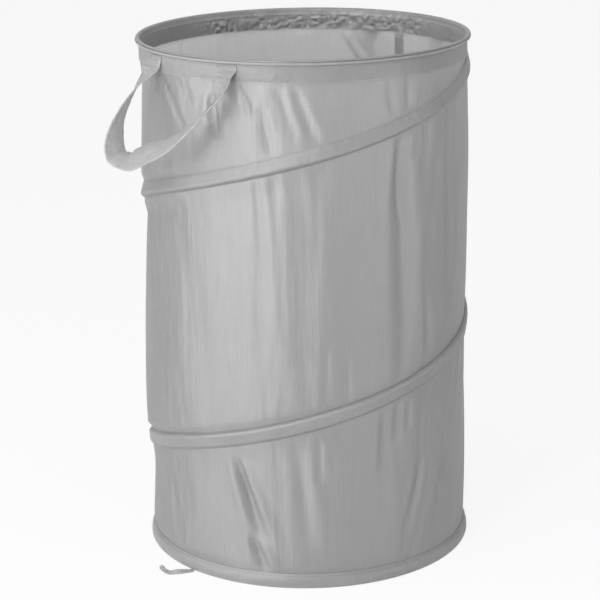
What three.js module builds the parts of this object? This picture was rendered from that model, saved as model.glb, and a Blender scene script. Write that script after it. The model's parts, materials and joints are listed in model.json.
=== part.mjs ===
// Pop-up laundry hamper: a drum of thin cloth on two sprung hoops and a coil of nearly two turns.
// Millimetres, +Z up, with the origin on the floor at the middle of the base.
// The front handle hangs on the -X side and the rear handle on the +X side.
import * as THREE from 'three';
import { mergeVertices } from 'three/addons/utils/BufferGeometryUtils.js';

// Driving dimensions of the drum
const hoopDiameter = 380; // over the wire ridges of both hems
const hamperHeight = 600;
const topHemHeight = 25;
const bottomHemHeight = 16;
const clearance = 0.3; // between two pieces that lie on each other

// Cloth
const wallThickness = 1.2;
const bindingThickness = 0.7;
const wallWaist = 2.6; // how far the wall draws in midway between two wires
const foldDepth = 1.8;
const foldCount = 12;
const hemOverlap = 8; // how far the wall stands inside each hem from the hem's edge
const baseThickness = 1.4;
const baseFlangeHeight = 12;

// Spring wire with its crimped sleeves and end tips
const wireDiameter = 2;
const sleeveWall = 0.4;
const sleeveLength = 20;
const tipLength = 14;
const tipEndWall = 2;
const tipInset = 1.5; // from the end of the casing to the tip

// The coil and the strip of cloth sewn over it
const coilPitch = 300;
const coilFrontHeight = 230; // height of the first turn's wire where it crosses the -Y side
const channelShoulder = 4.4; // from the wire's centre to the stitch line beside it
const casingRise = 13.5; // flat tape above the wire
const casingLip = 5.5; // narrow edge below the wire

// Side seam, covered inside by a tape
const seamTapeWidth = 12;
const seamTapeGap = 0.5;
const seamTapeInset = 2;

// Carrying handles: a strap sewn to the top hem at both ends
const strapWidth = 25;
const strapThickness = 1.6;
const handleGap = 108; // between the middles of a handle's two legs
const handleDrop = 110; // from the sewn ends to the lowest part of the loop, along the loop
const tabThickness = 1.2;
const tabDrop = 13; // length of a sewn end, down from the ridge
const frontHandleLean = 34; // degrees from hanging straight down
const rearHandleLean = 14;

// Ties that hold the hamper flat
const tieWidth = 8;
const tieThickness = 1;
const tieReach = 25; // how far a tie lies out from the bottom hem
const tieSweep = 29; // how far it curves to the side
const tieTipLift = 5;
const tieOffset = 6.5; // from the handle's middle line to the tie's sewn end
const tieHeel = 0.55; // the stub of tie behind its bending line

// Angles, in degrees round the drum from the -Y side towards +X
const seamAzimuth = 94;
const hoopJointAzimuth = 101;
const handleAzimuth = -90;

// Steps round the drum and round each wire
const wallSteps = 48;
const ringSteps = 72;
const wireSides = 6;
const sleeveSides = 8;
const channelArcSteps = 5;
const casingArcSteps = 2;
const rowsBetweenWires = 4;
const strapSteps = 44;
const tieSteps = 12;
const tabSteps = 4;
const rounding = 1000;

const radians = THREE.MathUtils.degToRad;
const half = 0.5;
const fullTurn = 360;
const halfTurn = 180;
const channelEdge = 45; // degrees round a channel, from its middle to where it meets the tape

// Radii worked out from the ridge inwards
const ridgeRadius = hoopDiameter * half;
const wireRadius = wireDiameter * half;
const sleeveBore = (wireRadius + clearance) / Math.cos(Math.PI / sleeveSides);
const sleeveRadius = sleeveBore + sleeveWall;
const channelBore = (sleeveRadius + clearance) / Math.cos(Math.PI / sleeveSides);
const channelRadius = channelBore + bindingThickness;
const hoopRadius = ridgeRadius - channelRadius;
const coilOffset = clearance + sleeveRadius; // from the wall's face to the coil's centre
const wallRadius = ridgeRadius - channelRadius - coilOffset;
const wallInside = (wallRadius - wallThickness) * Math.cos(Math.PI / wallSteps);
const outerSkirtFace = (wallRadius + clearance) / Math.cos(Math.PI / ringSteps);
const innerSkirtFace = wallInside - clearance;
const hemOutside = outerSkirtFace + bindingThickness;
const hemInside = innerSkirtFace - bindingThickness;

// Heights
const topHemEdge = hamperHeight - topHemHeight;
const topHoopHeight = hamperHeight - channelRadius;
const wallFoot = bottomHemHeight - hemOverlap;
const wallHead = topHoopHeight - channelShoulder - clearance;

// Colours and finish
const satin = { color: 0xa9a9a9, roughness: 0.55, metalness: 0 };
const binding = { color: 0x8f8f8f, roughness: 0.5, metalness: 0 };
const webbing = { color: 0x9c9c9c, roughness: 0.6, metalness: 0 };
const springSteel = { color: 0x6f7276, roughness: 0.35, metalness: 1 };
const crimpMetal = { color: 0xb8babd, roughness: 0.3, metalness: 1 };
const tipPlastic = { color: 0x2c2c2e, roughness: 0.5, metalness: 0 };

// A point at an angle round the drum, a radius and a height
function atAngle(angle, radius, height) {
  return new THREE.Vector3(radius * Math.sin(angle), -radius * Math.cos(angle), height);
}

// The same on the facets of a ring with that many steps: between two of its corners the
// point lies on the straight line that joins them
function onFacets(steps, column, radius, height) {
  const before = Math.floor(column);
  const corner = (k) => atAngle((2 * Math.PI * (((k % steps) + steps) % steps)) / steps, radius, height);
  return column === before ? corner(before) : corner(before).lerp(corner(before + 1), column - before);
}

// The whole steps between two places round a ring, with the two places themselves
function columnsFrom(first, last) {
  const columns = [first];
  for (let k = Math.floor(first) + 1; k < last; k++) columns.push(k);
  columns.push(last);
  return columns;
}

// Twice three corners for a four-sided patch
function patch(a, b, c, d) {
  return [a, b, c, a, c, d];
}

// Joins loose triangle corners into one closed body that faces outwards
function closedBody(corners) {
  const merged = mergeVertices(new THREE.BufferGeometry().setFromPoints(corners), 1 / rounding);
  const index = merged.getIndex().array;
  const point = (k) => new THREE.Vector3().fromBufferAttribute(merged.getAttribute('position'), k);
  const faces = [];
  let volume = 0;
  for (let k = 0; k < index.length; k += 3) {
    const [a, b, c] = [index[k], index[k + 1], index[k + 2]];
    if (a === b || b === c || c === a) continue;
    faces.push([a, b, c]);
    volume += point(a).dot(point(b).cross(point(c)));
  }
  merged.setIndex(faces.flatMap(([a, b, c]) => (volume > 0 ? [a, b, c] : [a, c, b])));
  return merged;
}

// Skins a row of rings of corners. With an outline the two ends are closed, and without one
// the last ring runs on into the first
function loft(rings, outline) {
  const corners = [];
  const last = rings.length - 1;
  for (let i = 0; i < (outline ? last : rings.length); i++) {
    const ring = rings[i];
    const next = rings[(i + 1) % rings.length];
    for (let j = 0; j < ring.length; j++) {
      const k = (j + 1) % ring.length;
      corners.push(...patch(ring[j], next[j], next[k], ring[k]));
    }
  }
  if (outline) {
    const sense = THREE.ShapeUtils.isClockWise(outline) ? -1 : 1;
    for (const face of THREE.ShapeUtils.triangulateShape(outline, [])) {
      const [a, b, c] = sense > 0 ? face : [...face].reverse();
      corners.push(rings[0][a], rings[0][b], rings[0][c]);
      corners.push(rings[last][c], rings[last][b], rings[last][a]);
    }
  }
  return closedBody(corners);
}

// Turns a closed profile of radius and height about the drum's axis
function turned(profile) {
  const shape = new THREE.LatheGeometry([...profile, profile[0]], ringSteps);
  shape.deleteAttribute('normal');
  shape.deleteAttribute('uv');
  shape.rotateX(Math.PI * half);
  return closedBody(cornersOf(shape));
}

function cornersOf(shape) {
  const loose = shape.index ? shape.toNonIndexed() : shape;
  const place = loose.getAttribute('position');
  return Array.from({ length: place.count }, (_, k) => new THREE.Vector3().fromBufferAttribute(place, k));
}

// Points on an arc about a centre, from one angle to another
function arc(centreOut, centreUp, radius, from, to, steps) {
  return Array.from({ length: steps + 1 }, (_, k) => {
    const angle = radians(from + ((to - from) * k) / steps);
    return new THREE.Vector2(centreOut + radius * Math.cos(angle), centreUp + radius * Math.sin(angle));
  });
}

// Hem: a tape folded over the wall's edge, with the hoop's channel along the fold.
// The profile is drawn for the top hem, upwards from its skirts to the fold
function hemProfile(skirt) {
  const at = (out, up) => new THREE.Vector2(out, up);
  const shoulderInside = channelShoulder - bindingThickness * half;
  return [
    at(hemOutside, -skirt),
    at(hemOutside, -channelShoulder),
    ...arc(hoopRadius, 0, channelRadius, -channelEdge, halfTurn, channelArcSteps),
    at(hemInside, -channelShoulder),
    at(hemInside, -skirt),
    at(innerSkirtFace, -skirt),
    at(innerSkirtFace, -shoulderInside),
    ...arc(hoopRadius, 0, channelBore, halfTurn, -channelEdge, channelArcSteps),
    at(outerSkirtFace, -shoulderInside),
    at(outerSkirtFace, -skirt),
  ];
}

function topHem() {
  const skirt = topHoopHeight - topHemEdge;
  return turned(hemProfile(skirt).map((p) => new THREE.Vector2(p.x, topHoopHeight + p.y)));
}

function bottomHem() {
  const skirt = bottomHemHeight - channelRadius;
  return turned(hemProfile(skirt).map((p) => new THREE.Vector2(p.x, channelRadius - p.y)));
}

function hoop(height) {
  const ring = new THREE.TorusGeometry(hoopRadius, wireRadius, wireSides, ringSteps);
  ring.deleteAttribute('normal');
  ring.deleteAttribute('uv');
  ring.translate(0, 0, height);
  return closedBody(cornersOf(ring));
}

// A crimped sleeve or an end tip: a profile of distance along the wire and radius, turned
// about the wire. The place function gives the wire's own centre line
function roundTheWire(profile, place) {
  const rings = Array.from({ length: sleeveSides }, (_, k) => {
    const angle = (2 * Math.PI * k) / sleeveSides;
    return profile.map(([along, radius]) => place(along, radius * Math.cos(angle), radius * Math.sin(angle)));
  });
  return loft(rings);
}

function hoopSleeve(height) {
  const run = (2 * Math.PI * hoopRadius) / ringSteps;
  const middle = (hoopJointAzimuth * ringSteps) / fullTurn;
  const reach = (sleeveLength * half) / run;
  const columns = columnsFrom(middle - reach, middle + reach);
  const profile = [
    ...columns.map((column) => [column, sleeveRadius]),
    ...columns.reverse().map((column) => [column, sleeveBore]),
  ];
  return roundTheWire(profile, (column, out, up) => onFacets(ringSteps, column, hoopRadius + out, height + up));
}

// The coil: its height at a step round the drum, and its first and last whole step
const coilHeightAt = (column) => coilFrontHeight + (coilPitch * column) / wallSteps;
const columnAt = (height) => ((height - coilFrontHeight) * wallSteps) / coilPitch;
const coilStart = Math.ceil(columnAt(bottomHemHeight + clearance + casingLip));
const coilEnd = Math.floor(columnAt(topHemEdge - clearance - channelShoulder));
const coilRun = Math.hypot((2 * Math.PI * wallRadius) / wallSteps, coilPitch / wallSteps);

function onCoil(column, out, up) {
  return onFacets(wallSteps, column, wallRadius + coilOffset + out, coilHeightAt(column) + up);
}

// The coil's wire: one unbroken tube between its two end tips
const wireInset = (tipInset + tipEndWall + clearance) / coilRun;
const wireColumns = columnsFrom(coilStart + wireInset, coilEnd - wireInset);

function coilWire() {
  const section = arc(0, 0, wireRadius, 0, fullTurn, wireSides).slice(0, wireSides);
  const rings = wireColumns.map((column) => section.map((p) => onCoil(column, p.x, p.y)));
  reportLeastGap(rings);
  return loft(rings, section);
}

// Prints how near the coil's wire comes to its own next turn, measured on its points
function reportLeastGap(rings) {
  let least = Infinity;
  for (let i = 0; i < rings.length; i++) {
    for (let j = i + wallSteps * half; j < rings.length; j++) {
      for (const a of rings[i]) for (const b of rings[j]) least = Math.min(least, a.distanceTo(b));
    }
  }
  console.log(`least gap of the coil to itself: ${least.toFixed(1)} mm`);
}

// A plastic tip on an end of the coil, closed at the end that faces the hem
function coilTip(end, towards) {
  const profile = [
    [tipInset, 0],
    [tipInset, sleeveRadius],
    [tipInset + tipLength, sleeveRadius],
    [tipInset + tipLength, sleeveBore],
    [tipInset + tipEndWall, sleeveBore],
    [tipInset + tipEndWall, 0],
  ];
  return roundTheWire(profile, (along, out, up) => onCoil(end + (towards * along) / coilRun, out, up));
}

// The strip over the coil: flat tape above, the channel over the wire and a narrow edge below.
// Where the strip runs up to the top hem, its tape is trimmed to the hem's edge
function coilCasing() {
  const at = (out, up) => new THREE.Vector2(out, up);
  const shoulderInside = channelShoulder - bindingThickness * half;
  const outline = [
    at(clearance + bindingThickness, casingRise),
    at(clearance + bindingThickness, channelShoulder),
    ...arc(coilOffset, 0, channelRadius, channelEdge, -channelEdge, casingArcSteps),
    at(clearance + bindingThickness, -channelShoulder),
    at(clearance + bindingThickness, -casingLip),
    at(clearance, -casingLip),
    at(clearance, -shoulderInside),
    ...arc(coilOffset, 0, channelBore, -channelEdge, channelEdge, casingArcSteps),
    at(clearance, shoulderInside),
    at(clearance, casingRise),
  ];
  const rings = columnsFrom(coilStart, coilEnd).map((column) => {
    const wire = coilHeightAt(column);
    const room = topHemEdge - clearance - wire;
    return outline.map((p) => onFacets(wallSteps, column, wallRadius + p.x, wire + Math.min(p.y, room)));
  });
  return loft(rings, outline);
}

// How far the wall draws in at a step round the drum and a height: nothing where a hem or the
// coil holds it out, and most midway between them, with an even run of upright folds
function drawnIn(column, height) {
  let below = bottomHemHeight;
  let above = topHemEdge;
  const first = column + wallSteps * Math.ceil((coilStart - column) / wallSteps);
  for (let turn = first; turn <= coilEnd; turn += wallSteps) {
    const stripFoot = coilHeightAt(turn) - casingLip;
    const stripHead = Math.min(coilHeightAt(turn) + casingRise, topHemEdge);
    if (height >= stripFoot && height <= stripHead) return 0;
    if (stripHead < height) below = Math.max(below, stripHead);
    if (stripFoot > height) above = Math.min(above, stripFoot);
  }
  if (height <= below || height >= above) return 0;
  const fold = foldDepth * (half + half * Math.cos((2 * Math.PI * foldCount * column) / wallSteps));
  const slack = Math.min(1, (above - below) / coilPitch);
  return (wallWaist + fold) * slack * Math.sin((Math.PI * (height - below)) / (above - below));
}

function wallPoint(column, height, depth) {
  const level = Math.round(height * rounding) / rounding;
  return onFacets(wallSteps, column, wallRadius - drawnIn(column, level) - depth, level);
}

// The rows of the wall at a step: they follow the coil up the drum, and stop at the hems' edges
function wallRows(column) {
  const span = coilPitch - casingRise - casingLip;
  const rows = [-casingLip];
  for (let k = 0; k <= rowsBetweenWires; k++) rows.push(casingRise + (span * k) / rowsBetweenWires);
  return rows.map((up) => THREE.MathUtils.clamp(coilHeightAt(column) + up, bottomHemHeight, topHemEdge));
}

function wallFabric() {
  const corners = [];
  const addPatch = (column, low, lowNext, high, highNext) => {
    for (const depth of [0, wallThickness]) {
      const side = [
        wallPoint(column, low, depth),
        wallPoint(column + 1, lowNext, depth),
        wallPoint(column + 1, highNext, depth),
        wallPoint(column, high, depth),
      ];
      corners.push(...patch(...(depth ? side.reverse() : side)));
    }
  };
  const firstColumn = Math.floor(columnAt(bottomHemHeight - coilPitch + casingLip));
  const lastColumn = Math.ceil(columnAt(topHemEdge + casingLip));
  for (let column = firstColumn; column < lastColumn; column++) {
    const rows = wallRows(column);
    const next = wallRows(column + 1);
    for (let k = 0; k + 1 < rows.length; k++) addPatch(column, rows[k], next[k], rows[k + 1], next[k + 1]);
  }
  for (let column = 0; column < wallSteps; column++) {
    addPatch(column, wallFoot, wallFoot, bottomHemHeight, bottomHemHeight);
    addPatch(column, topHemEdge, topHemEdge, wallHead, wallHead);
    const edge = (height) => [
      wallPoint(column, height, 0),
      wallPoint(column, height, wallThickness),
      wallPoint(column + 1, height, wallThickness),
      wallPoint(column + 1, height, 0),
    ];
    corners.push(...patch(...edge(wallFoot)), ...patch(...edge(wallHead).reverse()));
  }
  return closedBody(corners);
}

// The round base with its rim turned up inside the bottom hem
function basePanel() {
  const rim = hemInside * Math.cos(Math.PI / ringSteps) - clearance;
  const at = (out, up) => new THREE.Vector2(out, up);
  return turned([
    at(0, 0),
    at(rim, 0),
    at(rim, baseFlangeHeight),
    at(rim - bindingThickness, baseFlangeHeight),
    at(rim - bindingThickness, baseThickness),
    at(0, baseThickness),
  ]);
}

// Tape over the side seam, inside the wall, midway along one of its facets
function seamTape() {
  const column = Math.floor((seamAzimuth * wallSteps) / fullTurn);
  const rowsAt = (k) => wallRows(k).concat(wallRows(k + wallSteps), wallRows(k - wallSteps));
  const here = rowsAt(column);
  const there = rowsAt(column + 1);
  const pairs = here.map((low, k) => [low, there[k]]).sort((a, b) => a[0] + a[1] - b[0] - b[1]);
  const inside = pairs.filter(([a, b]) => Math.min(a, b) > bottomHemHeight && Math.max(a, b) < topHemEdge);
  const foot = bottomHemHeight + seamTapeInset;
  const head = topHemEdge - seamTapeInset;
  const levels = [[foot, foot], ...inside.filter(([a, b]) => a > foot && b < head), [head, head]];
  const rings = levels.map(([left, right]) => {
    const face = wallThickness + seamTapeGap;
    const ends = (depth) => [wallPoint(column, left, depth), wallPoint(column + 1, right, depth)];
    const across = (depth, side) => {
      const [a, b] = ends(depth);
      const facet = a.distanceTo(b);
      return a.lerp(b, half + (side * seamTapeWidth * half) / facet);
    };
    const back = face + bindingThickness;
    return [across(face, -1), across(face, 1), across(back, 1), across(back, -1)];
  });
  return loft(rings, rectangle(seamTapeWidth, bindingThickness));
}

function rectangle(width, depth) {
  const [x, y] = [width * half, depth * half];
  return [
    new THREE.Vector2(-x, -y),
    new THREE.Vector2(x, -y),
    new THREE.Vector2(x, y),
    new THREE.Vector2(-x, y),
  ];
}

// A flat strap through a row of stations, each a centre, a direction along it and one across it
function strap(stations, width, thickness) {
  const outline = rectangle(width, thickness);
  const rings = stations.map(({ centre, along, across }) => {
    const through = new THREE.Vector3().crossVectors(along, across).normalize();
    return outline.map((p) => centre.clone().addScaledVector(across, p.x).addScaledVector(through, p.y));
  });
  return loft(rings, outline);
}

// The sewn end of a handle: its strap folded under, flat against the top hem below the ridge.
// The side is -1 or 1, for the leg towards -Y or +Y of the front handle
const tabFace = hemOutside + clearance;
const tabOutside = tabFace + tabThickness;
const tabHead = topHoopHeight - channelShoulder - clearance;
const tabFoot = tabHead - tabDrop;
const tabMiddle = Math.asin((handleGap * half) / tabOutside);
const tabReach = (strapWidth * half) / tabOutside;

function handleTab(side) {
  const rings = Array.from({ length: tabSteps + 1 }, (_, k) => {
    const angle = radians(handleAzimuth) - side * (tabMiddle - tabReach + (2 * tabReach * k) / tabSteps);
    return [
      atAngle(angle, tabFace, tabFoot),
      atAngle(angle, tabOutside, tabFoot),
      atAngle(angle, tabOutside, tabHead),
      atAngle(angle, tabFace, tabHead),
    ];
  });
  return loft(rings, rectangle(tabThickness, tabDrop));
}

// The handle's loop turns about one line just outside its sewn ends, at their lower edge
const tabInnerCorner = handleGap * half - strapWidth * half;
const handleAxisOut =
  Math.sqrt(tabOutside ** 2 - tabInnerCorner ** 2) + clearance + strapThickness * half;
const handleAxisHeight = tabFoot + strapThickness * half;

// The loop's route in its own plane, as shares of half the gap between the legs and of the drop,
// and the strap's twist as a share of half a turn: the strap turns over to bring its inner face
// up along the grip, and back again
const handleRouteShares = [
  [1, 0, 0],
  [1.06, 0.09, 0.02],
  [1.14, 0.2, 0.09],
  [1.22, 0.38, 0.3],
  [1.23, 0.57, 0.42],
  [1.17, 0.74, 0.52],
  [1.02, 0.89, 0.66],
  [0.8, 0.975, 0.82],
  [0.5, 0.985, 0.95],
  [0.1, 0.87, 0.98],
  [-0.36, 0.73, 0.9],
  [-0.71, 0.54, 0.82],
  [-0.9, 0.38, 0.68],
  [-1.03, 0.28, 0.4],
  [-1.09, 0.2, 0.13],
  [-1.06, 0.1, 0.02],
  [-1, 0, 0],
];

function handleLoop(leanAngle) {
  const lean = radians(leanAngle);
  const down = new THREE.Vector3(-Math.sin(lean), 0, -Math.cos(lean));
  const face = new THREE.Vector3(-Math.cos(lean), 0, Math.sin(lean));
  const sideways = new THREE.Vector3(0, 1, 0);
  const axis = new THREE.Vector3(-handleAxisOut, 0, handleAxisHeight);
  const shares = handleRouteShares.map(([across, drop, twist]) => new THREE.Vector3(across, drop, twist));
  const route = new THREE.CatmullRomCurve3(shares, false, 'centripetal');
  const place = (share) => {
    const s = route.getPoint(share);
    return axis
      .clone()
      .addScaledVector(sideways, s.x * handleGap * half)
      .addScaledVector(down, s.y * handleDrop);
  };
  const stations = Array.from({ length: strapSteps + 1 }, (_, k) => {
    const share = k / strapSteps;
    const before = place(Math.max(0, share - half / strapSteps));
    const along = place(Math.min(1, share + half / strapSteps)).sub(before).normalize();
    const inwards = new THREE.Vector3().crossVectors(face, along);
    const twist = Math.PI * route.getPoint(share).z;
    const across = inwards.multiplyScalar(Math.cos(twist)).addScaledVector(face, Math.sin(twist));
    return { centre: place(share), along, across };
  });
  for (const k of [0, strapSteps]) {
    stations[k].along.copy(down).multiplyScalar(k ? -1 : 1);
    stations[k].across.copy(sideways).multiplyScalar(k ? 1 : -1);
  }
  return strap(stations, strapWidth, strapThickness);
}

// A tie lies on the floor from under the bottom hem and curves to the side, as shares of its
// reach, its sweep and the lift of its tip
const tieRouteShares = [
  [0, 0, 0],
  [0.35, 0.08, 0],
  [0.72, 0.22, 0],
  [0.96, 0.46, 0.04],
  [1, 0.75, 0.35],
  [0.94, 1, 1],
];
const tieHeight = clearance + tieThickness * half;
const tieAxisOut = ridgeRadius + clearance + tieThickness * half;

function tie() {
  const shares = tieRouteShares.map(([out, aside, up]) => new THREE.Vector3(out, aside, up));
  const route = new THREE.CatmullRomCurve3(shares);
  const place = (share) => {
    const s = route.getPoint(share);
    const out = tieAxisOut - tieHeel + s.x * tieReach;
    return new THREE.Vector3(-out, tieOffset + s.y * tieSweep, tieHeight + s.z * tieTipLift);
  };
  const upwards = new THREE.Vector3(0, 0, 1);
  const stations = Array.from({ length: tieSteps + 1 }, (_, k) => {
    const share = k / tieSteps;
    const before = place(Math.max(0, share - half / tieSteps));
    const along = place(Math.min(1, share + half / tieSteps)).sub(before).normalize();
    const across = new THREE.Vector3().crossVectors(upwards, along).normalize();
    return { centre: place(share), along, across };
  });
  stations[0].across.set(0, -1, 0);
  return strap(stations, tieWidth, tieThickness);
}

function piece(name, geometry, finish) {
  const mesh = new THREE.Mesh(geometry, new THREE.MeshStandardMaterial(finish));
  mesh.name = name;
  return mesh;
}

// The pieces at one side of the drum: a handle with its two sewn ends, and a tie
function sidePieces(side, handleLean) {
  const group = new THREE.Group();
  group.add(
    piece(`${side}_handle`, handleLoop(handleLean), webbing),
    piece(`${side}_handle_tab_left`, handleTab(1), webbing),
    piece(`${side}_handle_tab_right`, handleTab(-1), webbing),
    piece(`${side}_tie`, tie(), webbing),
  );
  return group;
}

const hamper = new THREE.Group();
hamper.add(
  piece('wall_fabric', wallFabric(), satin),
  piece('base_panel', basePanel(), satin),
  piece('top_hem', topHem(), binding),
  piece('bottom_hem', bottomHem(), binding),
  piece('side_seam_tape', seamTape(), binding),
  piece('spiral_casing', coilCasing(), binding),
  piece('spiral_wire', coilWire(), springSteel),
  piece('spiral_tip_lower', coilTip(coilStart, 1), tipPlastic),
  piece('spiral_tip_upper', coilTip(coilEnd, -1), tipPlastic),
  piece('top_hoop', hoop(topHoopHeight), springSteel),
  piece('bottom_hoop', hoop(channelRadius), springSteel),
  piece('top_hoop_sleeve', hoopSleeve(topHoopHeight), crimpMetal),
  piece('bottom_hoop_sleeve', hoopSleeve(channelRadius), crimpMetal),
);

const frontSide = sidePieces('front', frontHandleLean);
const rearSide = sidePieces('rear', rearHandleLean);
rearSide.rotation.z = Math.PI;
hamper.add(frontSide, rearSide);

export default hamper;
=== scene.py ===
"""Dresses a pop-up laundry hamper: a satin drum on sprung hoops, its coil, bindings, handles and ties."""
import json
import math

import bmesh
import bpy
from bpy.props import FloatProperty, FloatVectorProperty, IntProperty, PointerProperty
from mathutils import Matrix, Vector, noise


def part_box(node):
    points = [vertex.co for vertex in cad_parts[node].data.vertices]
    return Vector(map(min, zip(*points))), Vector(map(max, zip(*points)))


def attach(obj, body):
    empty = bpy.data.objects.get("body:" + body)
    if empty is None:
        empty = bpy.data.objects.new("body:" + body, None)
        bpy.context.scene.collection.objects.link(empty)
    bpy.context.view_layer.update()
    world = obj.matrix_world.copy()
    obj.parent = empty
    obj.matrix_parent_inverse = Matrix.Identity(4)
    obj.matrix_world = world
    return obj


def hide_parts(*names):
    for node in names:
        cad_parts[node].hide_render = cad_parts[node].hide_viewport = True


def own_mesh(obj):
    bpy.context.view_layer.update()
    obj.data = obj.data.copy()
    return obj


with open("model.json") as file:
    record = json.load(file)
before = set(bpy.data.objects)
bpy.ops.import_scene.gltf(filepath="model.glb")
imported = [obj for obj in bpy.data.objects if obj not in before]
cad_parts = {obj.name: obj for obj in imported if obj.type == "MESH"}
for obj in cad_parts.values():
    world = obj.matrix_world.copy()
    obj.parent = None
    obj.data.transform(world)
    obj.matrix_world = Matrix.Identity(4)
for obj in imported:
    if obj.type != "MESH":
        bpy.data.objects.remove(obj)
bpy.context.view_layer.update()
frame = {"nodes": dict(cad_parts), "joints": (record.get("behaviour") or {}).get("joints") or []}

bl_info = {
    "name": "Pop-up Laundry Hamper",
    "version": (1, 0, 0),
    "blender": (4, 5, 0),
    "location": "3D View > Sidebar > Hamper",
    "description": "Builds the cloth, bindings, stitching, straps and stage of a pop-up laundry hamper",
    "category": "Object",
}

MM = 0.001
TURN = 2 * math.pi
UV_NAME = "ClothUV"

# Sizes that the solids of the frame already have
RIM_LOW, RIM_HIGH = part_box("top_hem")
RIDGE_RADIUS = RIM_HIGH.x
HAMPER_HEIGHT = RIM_HIGH.z
RIM_EDGE = RIM_LOW.z
FOOT_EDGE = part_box("bottom_hem")[1].z
BASE_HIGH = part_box("base_panel")[1]
JOINTS = {joint["name"]: joint for joint in frame["joints"]}
HANDLE_AXIS = Vector(JOINTS["front_handle_swing"]["pos_m"])
TIE_AXIS = Vector(JOINTS["front_tie_lift"]["pos_m"])


def a_length(name, description, default):
    return FloatProperty(name=name, description=description, default=default, unit="LENGTH")


def an_angle(name, description, default):
    return FloatProperty(name=name, description=description, default=default, subtype="ANGLE")


def a_number(name, description, default, unit="NONE"):
    return FloatProperty(name=name, description=description, default=default, unit=unit)


def a_count(name, description, default):
    return IntProperty(name=name, description=description, default=default)


def a_colour(name, description, default):
    return FloatVectorProperty(name=name, description=description, default=default, subtype="COLOR", size=3)


class HamperDrumSettings(bpy.types.PropertyGroup):
    """Sizes of the cloth wall and the side seam"""

    wall_radius: a_length(
        "Wall Radius", "Outer face of the wall where a wire holds it out", RIDGE_RADIUS - 5.09 * MM)
    wall_foot: a_length("Wall Foot", "Lower edge of the wall, inside the bottom binding", 8 * MM)
    wall_head: a_length(
        "Wall Head", "Upper edge of the wall, inside the top binding", HAMPER_HEIGHT - 8 * MM)
    cloth_thickness: a_length("Cloth Thickness", "Thickness of the wall cloth", 0.5 * MM)
    waist: a_length("Waist", "How far a narrow panel draws in midway between its seams", 2.0 * MM)
    bulge: a_length("Bulge", "How far a wide panel stands out midway between its seams", 2.4 * MM)
    sag: a_length(
        "Sag", "How far a wide panel hangs out over the seam below it where it is slackest", 6.4 * MM)
    sag_azimuth: an_angle(
        "Sag Angle", "Angle round the drum at which the cloth is slackest", math.radians(-127))
    gather_depth: a_length("Gather Depth", "Depth of the small gathers beside each seam", 1.5 * MM)
    fold_depth: a_length("Fold Depth", "Depth of the folds that run down from each seam", 2.4 * MM)
    billow_depth: a_length("Billow Depth", "Depth of the broad waves across a panel", 2.6 * MM)
    fold_lean: a_number("Fold Lean", "Sideways run of a fold for each unit that it drops", 0.3)
    fold_meeting: an_angle(
        "Fold Meeting Line", "Angle round the drum towards which the folds lean", math.radians(-40))
    columns: a_count("Columns", "Steps round the wall", 300)
    rows: a_count("Rows", "Steps up the wall", 158)
    seam_azimuth: an_angle("Side Seam", "Angle of the side seam round the drum", math.radians(94))
    seam_tape_width: a_length("Seam Tape Width", "Width of the tape inside the side seam", 12 * MM)


class HamperCoilSettings(bpy.types.PropertyGroup):
    """Sizes of the spring coil and of the strip sewn over it"""

    pitch: a_length("Pitch", "Rise of the coil in one turn", 0.3)
    front_height: a_length("Front Height", "Height of the first turn on the -Y side", 0.23)
    start: an_angle("Start", "Angle of the coil's lower end", math.radians(-247.5))
    end: an_angle("End", "Angle of the coil's upper end", math.radians(405))
    wire_offset: a_length("Wire Offset", "From the wall's face to the middle of the wire", 2.107 * MM)
    wire_diameter: a_length("Wire Diameter", "Diameter of the spring wire", 2 * MM)
    rise: a_length("Tape Above", "Flat tape above the wire", 13.5 * MM)
    lip: a_length("Edge Below", "Narrow edge of the strip below the wire", 5.5 * MM)
    crest: a_length("Crest", "How far the strip swells over the wire", 3.4 * MM)


class HamperBindingSettings(bpy.types.PropertyGroup):
    """Sizes of the two bindings and of every stitch"""

    channel_radius: a_length("Channel Radius", "Radius of the ridge over a hoop", 2.98 * MM)
    outer_face: a_length(
        "Outer Face", "Outside of the binding beside the ridge, in from the ridge", 4.1 * MM)
    inner_face: a_length("Inner Face", "Inside of the binding, in from the ridge", 7.6 * MM)
    tape_thickness: a_length("Tape Thickness", "Thickness of the binding tape", 0.5 * MM)
    pucker: a_length("Pucker", "Depth of the puckers along the stitching", 0.6 * MM)
    columns: a_count("Columns", "Steps round a binding", 720)
    stitch_length: a_length("Stitch Length", "Length of thread that shows", 2.3 * MM)
    stitch_spacing: a_length("Stitch Spacing", "From one stitch to the next", 3.2 * MM)
    thread_diameter: a_length("Thread Diameter", "Thickness of the thread", 0.45 * MM)


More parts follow.
